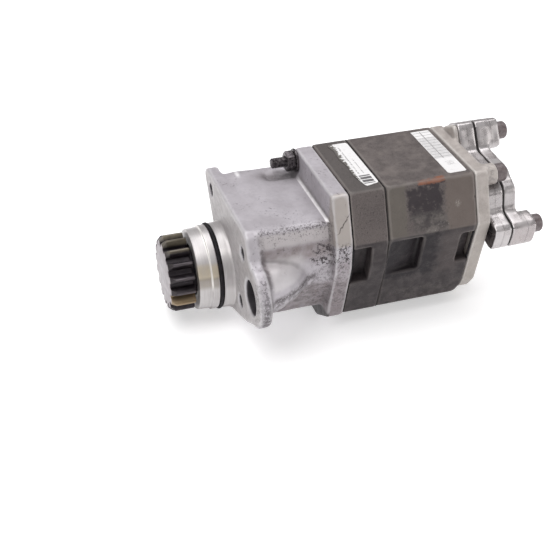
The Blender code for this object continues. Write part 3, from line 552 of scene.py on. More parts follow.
def cast_rim_lines(s, rim_across):
    """Crack, dark borders and bright foot line (painted highlight) of the rear rim."""
    path = s.math("ADD", s.axis("X"), s.wavy(5.0, 3.0))
    path = s.math("SUBTRACT", path, s.math("MULTIPLY", s.axis("Z"), 0.82))
    crack = s.times(s.line(path, 26.2, 0.9, 0.3), s.zone((None, None, 66.0), (None, -70.0, 83.0), 1.5))
    s.paint((0.07, 0.058, 0.055), crack, 0.85)
    broken = s.step(s.noise(2.2, 3.0, 0.7), 0.40, 0.52)
    front_edge = s.times(s.line(rim_across, 75.6, 1.3, 0.5), s.y(-68.0, -71.0), s.z(54.0, 60.0), broken)
    s.paint((0.085, 0.072, 0.07), front_edge, 0.75)
    rear_edge = s.times(s.step(s.frayed("X", 2.6, 3.0), RIM_REAR_X, RIM_REAR_X + 1.2), s.y(-60.0, -70.0))
    s.paint((0.075, 0.063, 0.06), rear_edge, 0.7)
    # painted highlight along the foot of the rim's front face
    fillet_highlight = s.times(s.line("X", 75.2, 1.9, 0.9), s.line("Z", 74.4, 2.2, 1.2), s.y(14.0, 2.0))
    s.paint((0.92, 0.90, 0.91), fillet_highlight, 0.9)


def cast_opening_shade(s):
    """Painted shade: dark insides of the suction port and the mounting holes, and the rim's front foot
    darkened as in shadow.
    """
    # painted shadow on the front face of the rim's foot
    foot_front_shade = s.times(s.x(81.0, 79.6), s.x(74.0, 76.0), s.z(-24.0, -30.0))
    s.paint((0.03, 0.026, 0.028), foot_front_shade, 0.9)
    # painted shade inside the suction port and the mounting holes
    port = s.step(s.radius(SUCTION_CENTRE), SUCTION_R + 0.6, SUCTION_R - 0.1)
    inside = s.times(port, s.x(0.3, 2.5), s.x(22.0, 18.0))
    holes = []
    for centre, depth in FLANGE_HOLES:
        wall = s.step(s.radius(centre), FLANGE_HOLE_R + 0.3, FLANGE_HOLE_R - 0.2)
        holes.append(s.times(wall, s.x(0.2, 1.6), s.x(depth, depth - 1.0)))
    s.paint((0.022, 0.018, 0.022), s.either(inside, s.either(*holes)), 0.93)


def cast_alloy():
    s = Surface("sand_cast_alloy", 0.25, 0.46)
    broad = s.noise(34.0, 4.0)
    middle = s.noise(7.0, 4.0, 0.6)
    fine = s.noise(1.1, 4.0, 0.7)
    cast_ground(s, broad, middle, fine)
    cast_near_wall(s, middle)
    rim_across = cast_rim_side(s, broad, middle)
    speckle = cast_speckle(s)
    s.paint((0.075, 0.063, 0.068), speckle)
    cast_horn(s, middle)
    cast_dish_shade(s, middle)
    cast_rim_lines(s, rim_across)
    # darker where sunken and lighter where raised
    s.paint((0.13, 0.115, 0.12), s.step(s.mark("sunken"), 0.1, 0.55, 0.0, 0.55))
    s.paint((0.66, 0.645, 0.66), s.step(s.mark("raised"), 0.16, 0.55, 0.0, 0.42))
    # painted highlight on the low mound near the far top edge
    s.paint((0.85, 0.84, 0.85), s.blob((23.5, 32.0, 75.0), (3.2, 9.0, 4.0), 0.1), 0.75)
    cast_opening_shade(s)
    rough = s.step(s.math("ADD", middle, s.times(speckle, 0.5)), 0.3, 1.0, 0.38, 0.72)
    unpitted = s.math("SUBTRACT", 1.0, speckle)
    return s.finished(rough, (s.noise(9.0, 3.0), 0.7, 0.22), (fine, 0.22, 0.35), (unpitted, 0.3, 0.5))


def machined_alloy():
    s = Surface("turned_alloy", 0.55, 0.34)
    lines = s.noise(0.9, 2.0, 0.6, stretch=(1.0, 0.03, 0.03))
    broad = s.noise(18.0, 3.0)
    s.base = s.mix(s.step(lines, 0.3, 0.7), (0.49, 0.468, 0.464), (0.55, 0.53, 0.528))
    # painted highlight: a bright line along the shoulder edge
    bright = s.times(s.line("X", -20.9, 1.1, 0.4), s.z(-4.0, 6.0))
    near = s.y(-24.0, -31.0)
    front = s.x(-14.5, -15.5)
    beige = s.times(near, s.z(25.0, 20.5), s.z(9.0, 12.0), s.x(-9.0, -13.0))
    s.paint((0.62, 0.54, 0.40), beige, 0.8)
    dark = s.times(near, s.z(13.5, 10.5), s.z(-1.0, 5.0), front)
    s.paint((0.27, 0.235, 0.195), dark, 0.7)
    root = s.times(s.x(-9.8, -9.0), s.z(16.0, 8.0), s.z(-4.0, 4.0), near)
    s.paint((0.24, 0.215, 0.22), root, 0.5)
    # painted shade: the underside of the spigot is darkened
    low = s.z(-22.0, -30.0)
    s.paint((0.20, 0.165, 0.17), low, 0.7)
    s.paint((0.36, 0.34, 0.345), s.step(broad, 0.5, 0.75, 0.0, 0.3))
    # painted highlight along the shoulder
    s.paint((0.85, 0.83, 0.80), bright, 0.85)
    s.paint((0.18, 0.16, 0.16), s.step(s.noise(1.3, 3.0, 0.7), 0.66, 0.72, 0.0, 0.35))
    return s.finished(s.step(broad, 0.3, 0.7, 0.3, 0.42), (lines, 0.03, 0.25))


def rear_body_marks(s, near, cloud, grain):
    """Clouding, stain, rust streak and scuffs of the rear gear body."""
    top = s.z(BODY_TOP_Z - 1.5, BODY_TOP_Z - 0.4)
    s.paint((0.07, 0.06, 0.058), top, s.step(cloud, 0.38, 0.66), 0.5)
    s.paint((0.20, 0.174, 0.162), top, s.step(s.noise(15.0, 4.0), 0.42, 0.7), 0.5)
    band = s.times(near, s.zone((None, None, 54.0), (146.0, None, 97.0), 1.5, 5.0))
    s.paint(s.mix(cloud, (0.10, 0.090, 0.078), (0.155, 0.138, 0.12)), band, 0.8)
    warm = s.times(near, s.zone((184.0, None, 52.0), (None, None, 98.0), 2.0, 5.0))
    s.paint(s.mix(cloud, (0.12, 0.097, 0.086), (0.175, 0.147, 0.131)), warm, 0.8)
    patchy = s.step(s.noise(6.0, 4.0, 0.65), 0.30, 0.44)
    stain = s.zone((148.0, None, 66.0), (181.0, None, 95.0), 2.5, 11.0, 7.0)
    stain = s.times(near, stain, s.either(patchy, 0.5))
    s.paint(s.mix(cloud, (0.022, 0.018, 0.022), (0.048, 0.040, 0.044)), stain, 0.93)
    under = s.times(near, s.zone((150.0, None, 54.0), (186.0, None, 72.0), 3.0, 14.0, 9.0))
    blotches = s.mix(s.step(cloud, 0.38, 0.62), (0.052, 0.046, 0.048), (0.15, 0.136, 0.126))
    s.paint(blotches, under, 0.75)
    slope = s.math("ADD", s.axis("Y"), s.math("MULTIPLY", s.axis("X"), -0.14))
    drawn = s.step(s.noise(2.0, 3.0, 0.7, stretch=(0.25, 1.0, 1.0)), 0.36, 0.6)
    streak = s.zone((158.5, -75.0, 95.0), (184.5, None, None), 1.2, 1.6, 2.5)
    s.paint((0.25, 0.088, 0.042), streak, s.step(slope, -91.5, -92.8), drawn, 0.85)
    chalk = s.times(s.blob((195.5, -80.2, 75.0), (4.2, 4.0, 5.0), 0.1), s.step(grain, 0.46, 0.62))
    s.paint((0.42, 0.385, 0.36), chalk, 0.7)
    low_scuff = s.blob((178.0, -73.0, -14.0), (14.0, 14.0, 16.0), 0.3)
    edge_scuff = s.times(s.blob((176.0, -84.0, 56.0), (18.0, 12.0, 12.0), 0.3), 0.8)
    scratches = s.step(s.noise(1.6, 3.0, 0.7), 0.6, 0.68)
    s.paint((0.40, 0.375, 0.365), s.either(low_scuff, edge_scuff), scratches, 0.75)
    rust = s.zone((165.0, None, None), (213.0, -58.0, -26.0), 3.0, 6.0)
    s.paint((0.12, 0.068, 0.05), rust, s.step(cloud, 0.42, 0.62), 0.6)


def front_body_marks(s):
    """Rubbed front edge and darker top of the front gear body."""
    edge = s.times(s.step(s.frayed("X", 2.2, 2.6), 97.4, 95.6), s.y(-66.0, -70.0))
    s.paint((0.30, 0.28, 0.265), edge, 0.6)
    s.paint((0.078, 0.071, 0.068), s.z(BODY_TOP_Z - 1.5, BODY_TOP_Z - 0.4), 0.6)


def rear_body_underside_marks(s, slant):
    """Dark patch of painted shade in the pocket, paler rear end and dusty foot on the lower slopes of the
    rear gear body.
    """
    # painted shade: the pocket on the lower slopes is darkened in patches
    patch = s.zone((124.0, None, 2.0), (178.0, None, 53.0), 3.0, 9.0, 8.0)
    patch = s.times(slant, patch, s.step(s.noise(7.0, 4.0, 0.65), 0.32, 0.5, 0.35, 1.0))
    s.paint((0.014, 0.011, 0.014), patch, 0.85)
    pale = s.times(slant, s.zone((182.0, None, 0.0), (205.0, None, 50.0), 4.0, 8.0, 8.0))
    s.paint((0.088, 0.072, 0.07), pale, 0.5)
    foot = s.times(s.z(-8.0, -16.0), s.step(s.noise(6.0, 4.0, 0.7), 0.45, 0.62))
    s.paint((0.10, 0.088, 0.084), foot, 0.5)


def body_iron(name, rear):
    s = Surface(name, 0.06, 0.48, 0.22)
    broad = s.noise(26.0, 4.0)
    cloud = s.noise(9.0, 5.0, 0.65)
    grain = s.noise(0.85, 3.0, 0.7)
    pits = s.step(s.noise(1.5, 3.0, 0.65), 0.57, 0.66)
    slant = s.z(55.0, 52.5)
    s.base = s.mix(s.step(broad, 0.3, 0.7), (0.092, 0.078, 0.076), (0.122, 0.104, 0.099))
    s.paint((0.18, 0.158, 0.153), s.step(grain, 0.35, 0.75, 0.0, 0.55))
    s.paint((0.036, 0.031, 0.031), pits, 0.55)
    if rear:
        rear_body_marks(s, s.y(-66.0, -71.5), cloud, grain)
    else:
        front_body_marks(s)
    # painted shade: the lower slanted faces are darkened
    lower = s.mix(s.step(cloud, 0.3, 0.62), (0.048, 0.040, 0.042), (0.022, 0.018, 0.021))
    s.paint(lower, slant, 0.8)
    if rear:
        rear_body_underside_marks(s, slant)
    raised = s.step(s.mark("raised"), 0.2, 0.6, 0.0, 0.35)
    s.paint((0.27, 0.245, 0.23), raised, s.z(30.0, 60.0, 0.3, 1.0))
    s.paint((0.022, 0.019, 0.02), s.step(s.mark("sunken"), 0.12, 0.6, 0.0, 0.7))
    rough = s.step(cloud, 0.3, 0.7, 0.42, 0.6)
    unpitted = s.math("SUBTRACT", 1.0, pits)
    return s.finished(rough, (broad, 0.4, 0.2), (grain, 0.16, 0.5), (unpitted, 0.22, 0.6))


def cover_alloy():
    s = Surface("rear_cover_alloy", 0.25, 0.48)
    cloud = s.noise(8.0, 4.0, 0.6)
    grain = s.noise(1.0, 3.0, 0.7)
    s.base = s.mix(s.step(cloud, 0.35, 0.65), (0.37, 0.332, 0.31), (0.45, 0.41, 0.385))
    s.paint((0.55, 0.52, 0.495), s.step(grain, 0.4, 0.72, 0.0, 0.35))
    pits = s.step(s.noise(1.6, 3.0, 0.6), 0.6, 0.68)
    low = s.z(52.0, 20.0, 0.12, 0.75)
    s.paint((0.15, 0.13, 0.115), pits, low)
    s.paint((0.30, 0.275, 0.245), s.z(56.0, 50.0), 0.35)
    pad = s.x(226.9, 227.6)
    s.paint((0.17, 0.155, 0.15), pad, s.step(s.noise(3.0, 3.0), 0.5, 0.65), 0.5)
    s.paint((0.66, 0.64, 0.61), s.step(s.mark("raised"), 0.14, 0.5, 0.0, 0.45))
    s.paint((0.14, 0.125, 0.12), s.step(s.mark("sunken"), 0.1, 0.5, 0.0, 0.7))
    return s.finished(s.step(cloud, 0.3, 0.7, 0.4, 0.56), (cloud, 0.3, 0.15), (grain, 0.14, 0.45))


def port_alloy():
    s = Surface("bright_port_alloy", 0.75, 0.27)
    cloud = s.noise(9.0, 3.0, 0.5)
    grain = s.noise(1.6, 2.0, 0.5)
    streaks = s.noise(3.0, 3.0, 0.6, stretch=(0.25, 1.0, 1.0))
    s.base = s.mix(s.step(cloud, 0.3, 0.7), (0.42, 0.395, 0.395), (0.53, 0.505, 0.505))
    s.paint((0.32, 0.295, 0.295), s.step(streaks, 0.62, 0.85, 0.0, 0.14))
    s.paint((0.66, 0.64, 0.635), s.step(grain, 0.6, 0.85, 0.0, 0.1))
    lower = s.z(60.0, 36.0)
    s.paint((0.33, 0.285, 0.285), lower, s.x(246.0, 250.0), 0.5)
    seam = s.either(s.line("X", 238.0, 0.7, 0.25), s.line("X", 262.5, 0.7, 0.25))
    s.paint((0.2, 0.18, 0.18), seam, s.step(streaks, 0.35, 0.6, 0.2, 0.6))
    near_seam = s.line("X", 246.5, 1.9, 0.5)
    s.paint((0.075, 0.065, 0.066), near_seam, 0.8)
    s.paint((0.78, 0.76, 0.76), s.step(s.mark("raised"), 0.2, 0.7, 0.0, 0.4))
    s.paint((0.19, 0.17, 0.172), s.step(s.mark("sunken"), 0.2, 0.8, 0.0, 0.5))
    # painted shadow on the front face of the lower ear, facing the cover
    s.paint((0.08, 0.07, 0.072), s.x(230.3, 229.5), s.z(50.0, 47.0))
    return s.finished(s.step(cloud, 0.3, 0.7, 0.22, 0.36), (cloud, 0.25, 0.15), (grain, 0.03, 0.2))


def pinion_steel():
    s = Surface("pinion_steel", 0.5, 0.4)
    cloud = s.noise(6.0, 4.0, 0.6)
    grain = s.noise(0.8, 3.0, 0.7)
    along = s.noise(1.6, 3.0, 0.6, stretch=(0.12, 1.0, 1.0))
    s.base = s.mix(s.step(cloud, 0.35, 0.65), (0.017, 0.013, 0.016), (0.036, 0.029, 0.034))
    s.paint((0.07, 0.058, 0.064), s.step(along, 0.55, 0.72, 0.0, 0.3))
    # lighter tooth tips: partly worn lands, partly painted highlight where the edges catch the light
    tip = s.times(s.step(s.radius(), 34.6, 35.6), s.x(-54.5, -53.0))
    tip = s.times(tip, s.step(s.radius(), 35.2, 35.9), s.step(along, 0.3, 0.6, 0.25, 0.6))
    s.paint((0.16, 0.14, 0.15), tip)
    olive = s.times(s.z(29.5, 32.5), s.y(22.0, 12.0))
    s.paint((0.15, 0.13, 0.092), olive, s.step(cloud, 0.3, 0.7, 0.6, 0.9))
    gold = s.times(s.z(-5.5, -8.0), s.z(-16.5, -14.0), s.y(-22.0, -26.0))
    s.paint(s.mix(along, (0.20, 0.135, 0.075), (0.50, 0.385, 0.235)), gold, 0.85)
    face = s.times(s.x(-57.6, -58.1), s.step(s.radius(), 32.2, 31.6))
    bevel = s.times(s.x(-53.5, -54.3), s.math("SUBTRACT", 1.0, face), s.step(s.radius(), 30.0, 31.5))
    s.paint((0.22, 0.2, 0.19), bevel, s.z(22.0, 30.0, 0.08, 0.4))
    rings = s.noise(1.2, 2.0, 0.5, stretch=(1.0, 0.4, 0.4))
    s.paint(s.mix(rings, (0.31, 0.285, 0.30), (0.38, 0.35, 0.365)), face)
    return s.finished(s.step(cloud, 0.3, 0.7, 0.34, 0.5), (along, 0.12, 0.25), (grain, 0.06, 0.4))


def plain_metal(name, dark, light, metallic, rough, size=3.0, rust=None):
    """Steel or bronze with cloudy colour, fine grain and optional brown film."""
    s = Surface(name, metallic, rough)
    cloud = s.noise(size, 4.0, 0.6)
    grain = s.noise(0.6, 3.0, 0.7)
    s.base = s.mix(s.step(cloud, 0.35, 0.65), dark, light)
    s.paint(tuple(min(1.0, c * 1.7) for c in light), s.step(grain, 0.55, 0.75, 0.0, 0.3))
    if rust:
        s.paint(rust, s.step(s.noise(size * 0.7, 4.0, 0.7), 0.5, 0.66, 0.0, 0.7))
    return s.finished(s.step(cloud, 0.3, 0.7, rough - 0.06, rough + 0.1), (grain, 0.06, 0.4))


def rubber():
    s = Surface("seal_rubber", 0.0, 0.5, 0.25)
    fine = s.noise(0.7, 3.0, 0.6)
    s.base = s.mix(s.step(s.noise(6.0, 3.0), 0.35, 0.7), (0.005, 0.004, 0.0055), (0.014, 0.011, 0.014))
    s.paint((0.08, 0.07, 0.075), s.step(fine, 0.62, 0.74, 0.0, 0.12))
    return s.finished(s.step(fine, 0.3, 0.7, 0.62, 0.8), (fine, 0.06, 0.4))


def gasket_sheet():
    s = Surface("gasket_sheet", 0.0, 0.75)
    fine = s.noise(0.8, 4.0, 0.7)
    s.base = s.mix(s.step(fine, 0.35, 0.7), (0.012, 0.010, 0.010), (0.04, 0.034, 0.033))
    return s.finished(s.step(fine, 0.3, 0.7, 0.65, 0.85), (fine, 0.08, 0.5))


def worn_film(s, print_share, film, ink, wear):
    """White label film with faded print, rubbed off to bare metal where wear is 1."""
    s.base = s.mix(print_share, film, ink)
    dirt = s.step(s.noise(3.0, 4.0, 0.7), 0.5, 0.7, 0.0, 0.22)
    s.paint((0.42, 0.40, 0.38), dirt)
    s.paint((0.12, 0.11, 0.10), wear)
    rough = s.step(wear, 0.2, 0.8, 0.38, 0.6)
    return s.finished(rough, (s.math("SUBTRACT", 1.0, wear), 0.12, 0.6), (s.noise(1.4, 3.0), 0.05, 0.3))


def bars(s, letter, first, pitch, width, soft=0.12):
    """Thin lines of one width, repeated along an axis."""
    value = s.math("SUBTRACT", s.axis(letter), first)
    cell = s.math("SUBTRACT", s.math("FRACT", s.math("DIVIDE", value, pitch)), 0.5)
    away = s.math("MULTIPLY", s.math("ABSOLUTE", cell), pitch)
    return s.step(away, width / 2.0 + soft, width / 2.0 - soft)


def label_front_film():
    s = Surface("front_label_film", 0.0, 0.4)
    ragged = s.wavy(14.0, 3.2, 4.0, 0.7)
    left = s.step(s.math("ADD", s.axis("X"), ragged), 111.6, 110.4)
    spots = s.times(s.step(s.noise(1.7, 3.0, 0.7), 0.6, 0.64), s.x(116.0, 109.0))
    wear = s.either(left, spots)
    dashes = s.step(s.noise(1.0, 2.0, 0.6, stretch=(0.4, 1.0, 0.1)), 0.46, 0.54)
    second_row = s.times(s.line("X", 119.2, 0.6, 0.35), s.y(-14.0, -16.0))
    rows = s.either(s.line("X", 114.6, 0.85, 0.5), second_row)
    text = s.times(rows, dashes, s.y(-44.0, -42.0), s.y(10.0, 8.0), 0.7)
    block = s.zone((112.8, -61.0, None), (123.2, -46.0, None), 0.35)
    stripe = bars(s, "Y", -46.0, 5.2, 1.2)
    emblem = s.times(block, s.math("SUBTRACT", 1.0, stripe))
    return worn_film(s, s.either(text, s.times(emblem, 0.93)), LABEL_WHITE, (0.055, 0.05, 0.055), wear)


def label_rear_film():
    s = Surface("rear_label_film", 0.0, 0.4)
    grid_area = s.times(s.y(-38.5, -38.0), s.y(15.6, 15.2), s.x(191.0, 191.3), s.x(208.3, 208.0))
    rows = bars(s, "Y", -38.0, 5.4, 0.55)
    columns = s.line("X", 198.8, 0.55, 0.25)
    fill = s.times(s.step(s.noise(0.8, 2.0, 0.6, stretch=(0.5, 1.0, 0.1)), 0.45, 0.6), 0.45)
    body = s.times(s.y(3.0, 2.6), s.either(fill, 0.25))
    grid = s.times(grid_area, s.either(s.either(rows, columns), body))
    ink = s.step(s.noise(0.9, 2.0, 0.5, stretch=(1.0, 0.6, 0.1)), 0.48, 0.56)
    stamp = s.times(s.zone((197.0, -52.0, None), (204.0, -44.0, None), 0.6), ink, 0.5)
    wear = s.times(s.step(s.noise(1.3, 3.0, 0.7), 0.69, 0.73), 0.6)
    return worn_film(s, s.times(s.either(grid, stamp), 0.85), LABEL_WHITE, (0.14, 0.13, 0.135), wear)


# ---- Castings ----
CUTTER_R = 46.0  # clears the spigot's 41.6 mm foot
SPIGOT_BORE_R = 24.4
CRISP, ROUNDED = 0.12, 0.75  # how far edges are rounded: gear bodies, port castings


def without_spigot(obj):
    """Take the turned spigot off the casting, back to the mounting face."""
    drum = from_bm("spigot_cutter", turned(((-45.0, CUTTER_R), (-0.05, CUTTER_R)), count=48))
    combine(obj, drum, "DIFFERENCE")


def adapter_mask(points):
    """Where the adapter's edges are rounded: barrel and horn, hardly on the machined faces."""
    x, y, z = points.T
    cast = ease(x, 2.5, 6.0) * ease(x, 93.6, 91.5)
    machined_foot = ease(x, 9.5, 12.0)
    horn = ease(x, 5.0, 12.0) * ease(x, 74.0, 62.0) * ease(-y, 52.0, 62.0) * ease(z, 52.0, 38.0)
    barrel = ease(x, 11.0, 14.0) * ease(x, 77.5, 75.0)
    return np.clip(0.32 * cast * machined_foot + 0.35 * barrel + 0.8 * horn + 0.12, 0.0, 1.0)


def adapter_shape(points):
    """Sand-cast unevenness, a low mound near the far edge and a shallow dish before the nut."""
    x, y, z = points.T
    cast = ease(x, 12.5, 16.0) * ease(x, 92.5, 90.0)
    mound = np.exp(-(((x - 25.0) / 8.0) ** 2 + ((y - 33.0) / 9.0) ** 2)) * ease(z, 70.0, 73.0)
    across = np.exp(-(((y - 20.0) / 11.0) ** 2))
    dish = across * ease(x, 36.0, 60.0) * ease(x, 77.0, 74.0) * ease(z, 70.0, 72.5) * ease(z, 78.0, 75.0)
    return cast * (0.22 * lumps(points, 11.0, 1) + 0.12 * lumps(points, 4.5, 2) + 1.3 * mound - 2.2 * dish)


def adapter(cast_look, turned_look):
    body = casting("adapter_casting", "adapter_housing", 1.15, 3, 16,
                   adapter_mask, adapter_shape, without_spigot)
    fitted(body, "housing", "adapter_housing", cast_look)
    foot = [(0.2, SPIGOT_BORE_R), (0.2, 41.6), (-0.4, 41.25), (-1.4, 40.7), (-3.0, 40.35), (-9.0, 40.05)]
    groove = [(-9.7, 39.75), (-9.75, 39.3), (-9.75, 36.9), (-14.25, 36.9), (-14.25, 39.2), (-14.6, 39.65)]
    shoulder = [(-20.0, 39.7), (-20.5, 39.6), (-20.8, 39.2), (-21.1, 38.5), (-21.8, 38.4), (-31.6, 37.95)]
    nose = [(-32.3, 37.75), (-32.65, 37.3), (-32.7, 36.6), (-32.7, 26.4), (-32.2, 25.4)]
    nose.append((-31.4, SPIGOT_BORE_R))
    spigot = from_bm("adapter_spigot", turned(foot + groove + shoulder + nose, count=128, closed=True))
    smooth(spigot, 28.0)
    fitted(spigot, "housing", "adapter_housing", turned_look)


def body_shape(points):
    return 0.07 * lumps(points, 6.0, 3)


def port_shape(points):
    return 0.18 * lumps(points, 7.0, 4)


def gear_bodies():
    """Front body finer than the rear one, which is longer and has to stay under the export's limit."""
    rows = (("front_body_casting", "front_gear_body", 1.1, body_iron("front_body_iron", False)),
            ("rear_body_casting", "rear_gear_body", 1.35, body_iron("rear_body_iron", True)))
    for name, node, voxel, look in rows:
        made = casting(name, node, voxel, 2, 4, CRISP, body_shape)
        fitted(made, "housing", node, look)


def cover():
    made = casting("cover_casting", "rear_cover", 0.85, 2, 6, ROUNDED, body_shape)
    fitted(made, "housing", "rear_cover", cover_alloy())


def outlet_castings():
    look = port_alloy()
    for name, node in (("spacer_casting", "port_spacer"), ("port_casting", "port_flange")):
        made = casting(name, node, 0.8, 3, 7, ROUNDED, port_shape)
        fitted(made, "housing", node, look)


# ---- Pinion ----
TEETH = 16
TIP_R, ROOT_R, PITCH_R = 36.0, 27.4, 32.0
PRESSURE = math.radians(20.0)
THINNING = 0.35
PHASE = math.radians(1.5)
LEAD_R, LEAD_LENGTH = 31.8, 4.5  # cone at the front end of the teeth
TOOTH_END_X = -35.4  # rear face of the teeth
HUB_R, BORE_R = 21.0, 15.1
KEYWAY_WIDTH, KEYWAY_HEIGHT = 5.6, 7.4  # of the cutter, in Y and Z


def involute(angle):
    """The involute function."""
    return math.tan(angle) - angle


def tooth_line():
    """Half a pinion tooth as (radius, half angle), with an eased root and a chamfered tip."""
    base_r = PITCH_R * math.cos(PRESSURE)
    half_pitch = math.pi / (2 * TEETH) - THINNING / PITCH_R + involute(PRESSURE)
    flank = []
    for step in range(9):
        radius = base_r + (TIP_R - 0.45 - base_r) * step / 8.0
        flank.append((radius, half_pitch - involute(math.acos(min(1.0, base_r / radius)))))
    foot, last = flank[0][1], flank[-1][1]
    return [(ROOT_R, foot + 0.035), (ROOT_R + 0.35, foot + 0.012)] + flank + [(TIP_R, last - 0.018)]


def pinion_outline(inset, limit):
    """Tooth outline set in by inset, and no further out than limit."""
    line = tooth_line()
    polar = []
    for tooth in range(TEETH):
        middle = PHASE + 2.0 * math.pi * tooth / TEETH
        polar += [(radius, middle - half) for radius, half in line]
        polar += [(radius, middle + half) for radius, half in reversed(line)]
    held = [(min(radius - inset, limit), angle) for radius, angle in polar]
    return [(r * math.cos(a), r * math.sin(a)) for r, a in held]


def loft(rings):
    """Solid skinned over rings that have the same number of points."""
    bm = bmesh.new()
    loops = [[bm.verts.new(point) for point in ring] for ring in rings]
    for first, second in zip(loops, loops[1:]):
        count = len(first)
        for index in range(count):
            after = (index + 1) % count
            bm.faces.new((first[index], first[after], second[after], second[index]))
    bm.faces.new(loops[0])
    bm.faces.new(loops[-1])
    return bm


def toothed_ring(front_x):
    """Teeth with a conical lead at the front and a small chamfer at the rear."""
    rings = []
    slope = (TIP_R - LEAD_R) / LEAD_LENGTH
    for along, inset in ((0.0, 0.5), (0.12, 0.2), (0.4, 0.0), (1.5, 0.0), (3.0, 0.0), (LEAD_LENGTH, 0.0)):
        limit = LEAD_R + slope * along - inset
        rings.append([(front_x + along, y, z) for y, z in pinion_outline(inset, limit)])
    for x, inset in ((TOOTH_END_X - 1.0, 0.0), (TOOTH_END_X, 0.9)):
        rings.append([(x, y, z) for y, z in pinion_outline(inset, TIP_R)])
    return from_bm("drive_pinion", loft(rings))


def keyway_cutter(end_x):
    slot = bmesh.new()
    front, rear = -48.4, end_x + 2.0
    middle = Matrix.Translation(((front + rear) / 2.0, 0.0, 13.7))
    size = Matrix.Diagonal((rear - front, KEYWAY_WIDTH, KEYWAY_HEIGHT, 1.0))
    bmesh.ops.create_cube(slot, size=1.0, matrix=middle @ size)
    return from_bm("keyway", slot)


def pinion(look):
    front_x, end_x = span_of("coupling_pinion")
    body = toothed_ring(front_x)
    chamfer_r = HUB_R - 0.8
    hub_line = ((TOOTH_END_X - 3.0, chamfer_r), (TOOTH_END_X - 2.9, HUB_R),
                (end_x - 0.8, HUB_R), (end_x, chamfer_r))
    combine(body, from_bm("pinion_hub", turned(hub_line, count=64)), "UNION")
    bore = from_bm("bore", turned(((-50.8, BORE_R), (end_x + 2.0, BORE_R)), count=56))
    combine(body, bore, "DIFFERENCE")
    combine(body, keyway_cutter(end_x), "DIFFERENCE")
    smooth(body, 32.0)
    fitted(body, "drive", "coupling_pinion", look)


# ---- Seals and fasteners ----
NUT_FLATS = 17.0


def oring(look):
    x0, x1 = span_of("pilot_oring")
    centre, minor, major = (x0 + x1) / 2.0, 1.95, 39.0
    around = 14
    ring = []
    for step in range(around):
        turn = 2.0 * math.pi * step / around
        ring.append((centre + minor * math.cos(turn), major + minor * math.sin(turn)))
    made = from_bm("pilot_seal_ring", turned(ring, count=120, closed=True))
    made.data.shade_smooth()
    fitted(made, "housing", "pilot_oring", look)


def knurled(obj, centre, low_x, high_x, radius):
    """Fine ridges round a screw head."""
    points = positions(obj.data)
    y, z = points[:, 1] - centre[0], points[:, 2] - centre[1]
    away = np.hypot(y, z)
    angle = np.arctan2(z, y)
    held = (points[:, 0] > low_x) & (points[:, 0] < high_x) & (away > radius - 0.05)
    grow = np.where(held, 1.0 - 0.012 * (0.5 + 0.5 * np.cos(angle * 40.0)), 1.0)
    points[:, 1] = centre[0] + y * grow
    points[:, 2] = centre[1] + z * grow
    set_positions(obj.data, points)


def cap_screw(name, node, look, head_r, head_len, shank_r, socket):
    centre = centre_of(node)
    x0, x1 = span_of(node)
    seat = x1 - head_len
    shank = ((x0, shank_r - 0.8), (x0 + 1.0, shank_r), (seat, shank_r))
    head = ((seat, head_r - 0.4), (seat + 0.4, head_r), (x1 - 1.9, head_r))
    rounding = ((x1 - 1.5, head_r - 0.12), (x1 - 0.5, head_r - 0.75), (x1, head_r - 1.5))
    made = from_bm(name, turned(shank + head + rounding, centre, 120))
    knurled(made, centre, seat + 0.3, x1 - 1.8, head_r)
    cutter = from_bm("socket", hexagon(centre, socket, x1 - head_len * 0.52, x1 + 3.0, 0.3))
    combine(made, cutter, "DIFFERENCE")
    lead = from_bm("socket_lead", turned(((x1 - 0.7, socket * 0.5), (x1 + 0.3, socket * 0.66)), centre, 48))
    combine(made, lead, "DIFFERENCE")
    smooth(made, 30.0)
    fitted(made, "housing", node, look)


def thread(x0, x1, centre, radius, pitch=1.5, depth=0.75, around=28):
    """Ridged screw end with a true helix, skinned ring by ring."""
    rings = []
    count = int((x1 - x0) / (pitch / 6.0))
    for step in range(count + 1):
        x = x0 + (x1 - x0) * step / count
        end = min(1.0, (x - x0) / 1.2)
        ring = []
        for index in range(around):
            turn = 2.0 * math.pi * index / around
            share = abs(((x / pitch) - index / around) % 1.0 - 0.5) * 2.0
            r = radius - depth * share * 0.95 - (1.0 - end) * 0.9
            ring.append((x, centre[0] + r * math.cos(turn), centre[1] + r * math.sin(turn)))
        rings.append(ring)
    return loft(rings)


def stud(centre, look):
    x0, x1 = span_of("tie_stud")
    nut_end = span_of("stud_nut")[1]
    made = from_bm("stud_thread", thread(x0, nut_end + 0.5, centre, 5.0))
    shank = from_bm("shank", turned(((nut_end, 4.75), (x1 - 1.0, 4.75), (x1, 4.0)), centre, 28))
    combine(made, shank, "UNION")
    smooth(made, 50.0)
    fitted(made, "housing", "tie_stud", look)


def nut(centre, look):
    x0, x1 = span_of("stud_nut")
    made = from_bm("hex_nut", hexagon(centre, NUT_FLATS, x0, x1, 0.22))
    form_line = ((x0, 8.3), (x0 + 0.9, 9.9), (x1 - 0.9, 9.9), (x1, 8.3))
    combine(made, from_bm("nut_form", turned(form_line, centre, 64)), "INTERSECT")
    bore_line = ((x0 - 1.0, 6.6), (x0 + 1.0, 5.15), (x1 - 0.6, 5.15), (x1 + 1.0, 6.0))
    combine(made, from_bm("nut_bore", turned(bore_line, centre, 48)), "DIFFERENCE")
    bevelled(made, 0.35, 2, 40.0)
    smooth(made, 35.0)
    fitted(made, "housing", "stud_nut", look)


def washer(centre, look):
    x0, x1 = span_of("stud_washer")
    ring = ((x0, 5.5), (x0, 10.6), (x0 + 0.4, 11.0), (x1 - 0.3, 11.0), (x1, 10.7), (x1, 5.4))
    made = from_bm("flat_washer", turned(ring, centre, 72, closed=True))
    smooth(made, 35.0)
    fitted(made, "housing", "stud_washer", look)


